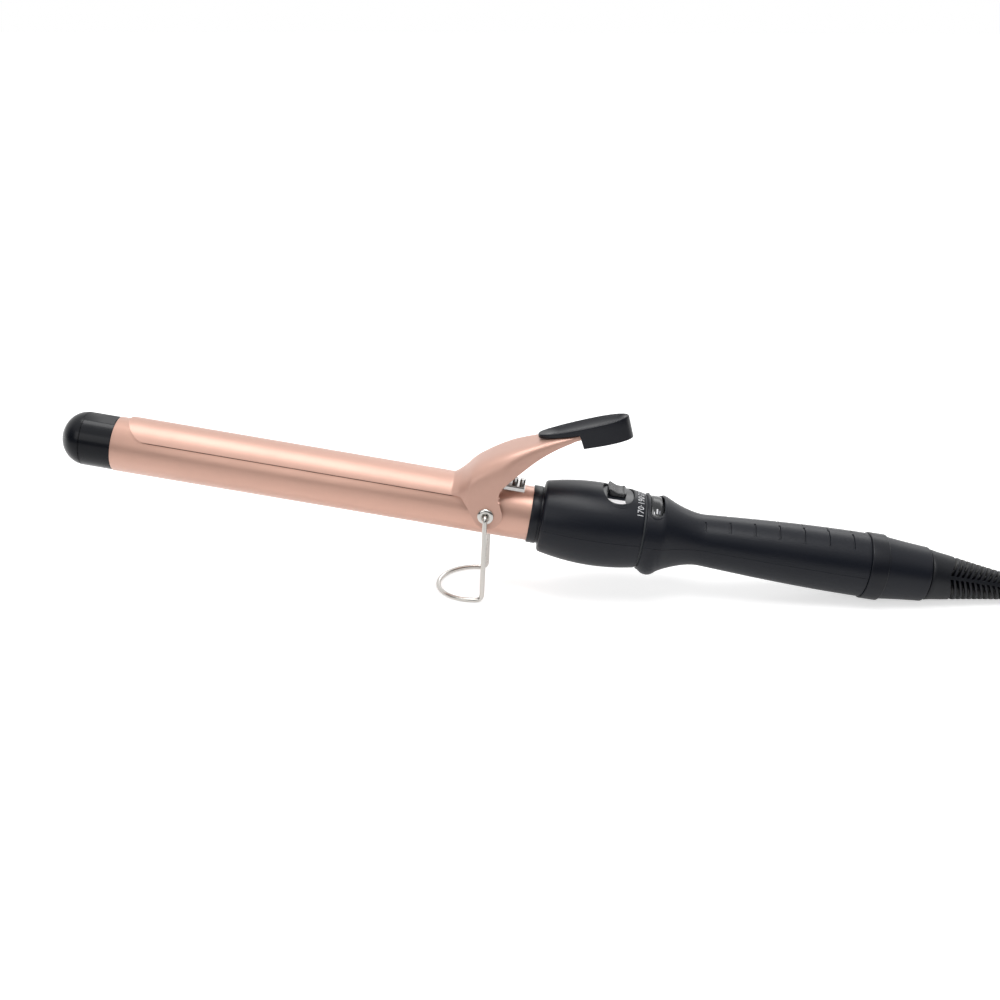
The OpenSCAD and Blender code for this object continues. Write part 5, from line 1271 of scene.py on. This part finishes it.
makePiece("switchBezel", [bezelGrid()], onHandle, "iron", "bezelGrey", ["switch_bezel"],
          sharp=40)
lens = padOf(lensOutline(), lambda p: dishFloor(p) - 0.8, lambda p: dishFloor(p) + 0.07, 0.12, 6)
makePiece("indicatorLens", [lens], onHandle, "iron", "lensWhite", ["indicator_lens"], sharp=50)
front, back = controls["front"], controls["back"]
kneeLine = splined([(-4.3, front - 0.7), (-3.8, front - 0.1), (-3.1, front), (-2.3, front - 0.4),
                    (0, (front + back) / 2 - 0.8), (2.4, back - 0.3), (3.2, back), (3.8, back - 0.1),
                    (4.3, back - 0.5)])


def kneeAt(flat):
    # the slider's saddle between its lips, with a flat raised panel in it
    along, across = flat[..., 0] - controls["knobAt"], flat[..., 1]
    panel = smoothStep((2.5 - np.abs(along - 0.1)) / 0.25) * smoothStep((4.5 - np.abs(across)) / 0.25)
    return np.interp(along, kneeLine[:, 0], kneeLine[:, 1]) + 0.14 * panel


stemFacts = {"at": 56.0, "halfS": 2.0, "halfY": 1.6, "corner": 0.2, "low": 8.2, "high": 17.6}
knob = roundedBox((controls["knobAt"], 0), controls["knobHalf"], controls["knobWide"],
                  controls["knobCorner"], 12)
stem = roundedBox((stemFacts["at"], 0), stemFacts["halfS"], stemFacts["halfY"], stemFacts["corner"], 3)
makePiece("powerSlider", [padOf(knob, lambda p: controls["floor"] + controls["gap"], kneeAt, 0.4, 34),
                          padOf(stem, lambda p: stemFacts["low"], lambda p: stemFacts["high"], 0.1, 3)],
          onHandle, "switch", "sliderBlack", ["power_slider"], sharp=40)
print("switch made")

dialSection = rounded([(14.0, 73.3), (16.55, 73.3, 0.2), (16.9, 74.5, 0.6), (16.9, 77.3, 0.6),
                       (16.55, 78.5, 0.2), (14.0, 78.5)], 5)
dialAxle = [(0, 69.7), (1.4, 69.7), (1.5, 69.8), (1.5, 74.2), (3.1, 74.2), (3.2, 74.3), (3.2, 79.1),
            (3.1, 79.2), (1.5, 79.2), (1.5, 81.1), (1.4, 81.2), (0, 81.2)]
spoke = {"halfS": 0.9, "halfY": 1.8, "corner": 0.15, "from": -14.6, "to": -2, "turn": 30}


def spokeGrid():
    # a rounded bar between the axle and the rim, turned about the axis
    outline = roundedBox((controls["dialAt"], 0), spoke["halfS"], spoke["halfY"], spoke["corner"], 3)
    s, y, z = np.moveaxis(np.array([raised(outline, spoke["from"]), raised(outline, spoke["to"])]), -1, 0)
    c, d = math.cos(math.radians(spoke["turn"])), math.sin(math.radians(spoke["turn"]))
    return np.stack([s, y * c - z * d, y * d + z * c], -1)


dialParts = [turnedOf(dialSection, 180, closed=True), turnedOf(dialAxle, 48), cappedOf(spokeGrid())]
makePiece("temperatureDial", dialParts, onHandle, "dial", "dialBlack", ["temperature_dial"],
          sharp=40)


def markAt(station, degrees, halfS, halfArc, corner, lift=0.05):
    # a thin printed mark: a rounded rectangle of (station, arc length from the top) laid on the dial's rim
    radius = controls["dialRadius"]
    outline = roundedBox((station, math.radians(degrees) * radius), halfS, halfArc, corner, 4)
    rows = []
    for inset, up in ((0, -0.03), (0, lift), (0.03, lift + 0.01)):
        flat = outline + (outline.mean(0) - outline) * inset
        rows.append(roundAxis(flat[:, 0], radius + up + 0 * flat[:, 0], flat[:, 1] / radius))
    return cappedOf(rows)


makePiece("dialIndex", [markAt(75.85, 31.5, 0.36, 1.35, 0.3), markAt(74.62, 35.5, 0.2, 0.75, 0.18)],
          onHandle, "dial", "inkWhite")
makePiece("dialTicks", [markAt(77.0, 33.2, 0.3, 1.0, 0.15)], onHandle, "dial", "inkGrey")

figures = {"body": "170\u00b7190\u00b7210", "size": 4.1, "extrude": 0.03, "resolution_u": 6,
           "space_character": 1.06}
figuresAt = {"station": 69.75, "degrees": 47, "lift": 0.02, "narrow": 0.88}


def numberParts():
    # figures whose tops point to the tip and that read upwards from the near side, laid on the housing
    curve = bpy.data.curves.new("figures", "FONT")
    for key, value in figures.items():
        setattr(curve, key, value)
    flat = bpy.data.objects.new("figures", curve)
    shape = flat.to_mesh()
    points = np.empty(len(shape.vertices) * 3)
    shape.vertices.foreach_get("co", points)
    points = points.reshape(-1, 3)
    faces = [list(face.vertices) for face in shape.polygons]
    flat.to_mesh_clear()
    bpy.data.objects.remove(flat)
    bpy.data.curves.remove(curve)
    at = figuresAt["station"] - points[:, 1]
    r = housingRadius(at) + points[:, 2] + figuresAt["lift"]
    angle = math.radians(figuresAt["degrees"]) - points[:, 0] * figuresAt["narrow"] / r
    return roundAxis(at, r, angle), faces


makePiece("dialNumbers", [numberParts()], onHandle, "iron", "inkWhite", sharp=30, merge=0.0005)
print("dial and figures made")

# looks of the pieces that come straight from the CAD
nodeLooks = {
    "castAlloy": ["heater_shoe_upper", "heater_shoe_lower"],
    "ceramicWhite": ["heater_element", "thermal_fuse"],
    "sensorGrey": ["temperature_sensor", "dial_sensor"],
    "leadWhite": ["heater_leads"],
    "plateSteel": ["spring_plate", "spring_screws", "pivot_washers"],
    "screwSteel": ["case_screws", "pad_screw"],
    "frameGrey": ["inner_frame", "swivel_hub"],
    "boardGreen": ["control_board", "power_board"],
    "switchBlue": ["switch_module"],
    "lampRed": ["indicator_lamp"],
    "componentDark": ["board_parts"],
    "leadRed": ["board_wires"],
    "contactBrass": ["brush_contacts", "slip_rings"],
}
dressed = {name: looks[look] for look, names in nodeLooks.items() for name in names}
for name, node in nodes.items():
    node.data.materials.clear()
    node.data.materials.append(dressed.get(name, looks["frameGrey"]))
print("looks given to", len(dressed), "kept pieces")
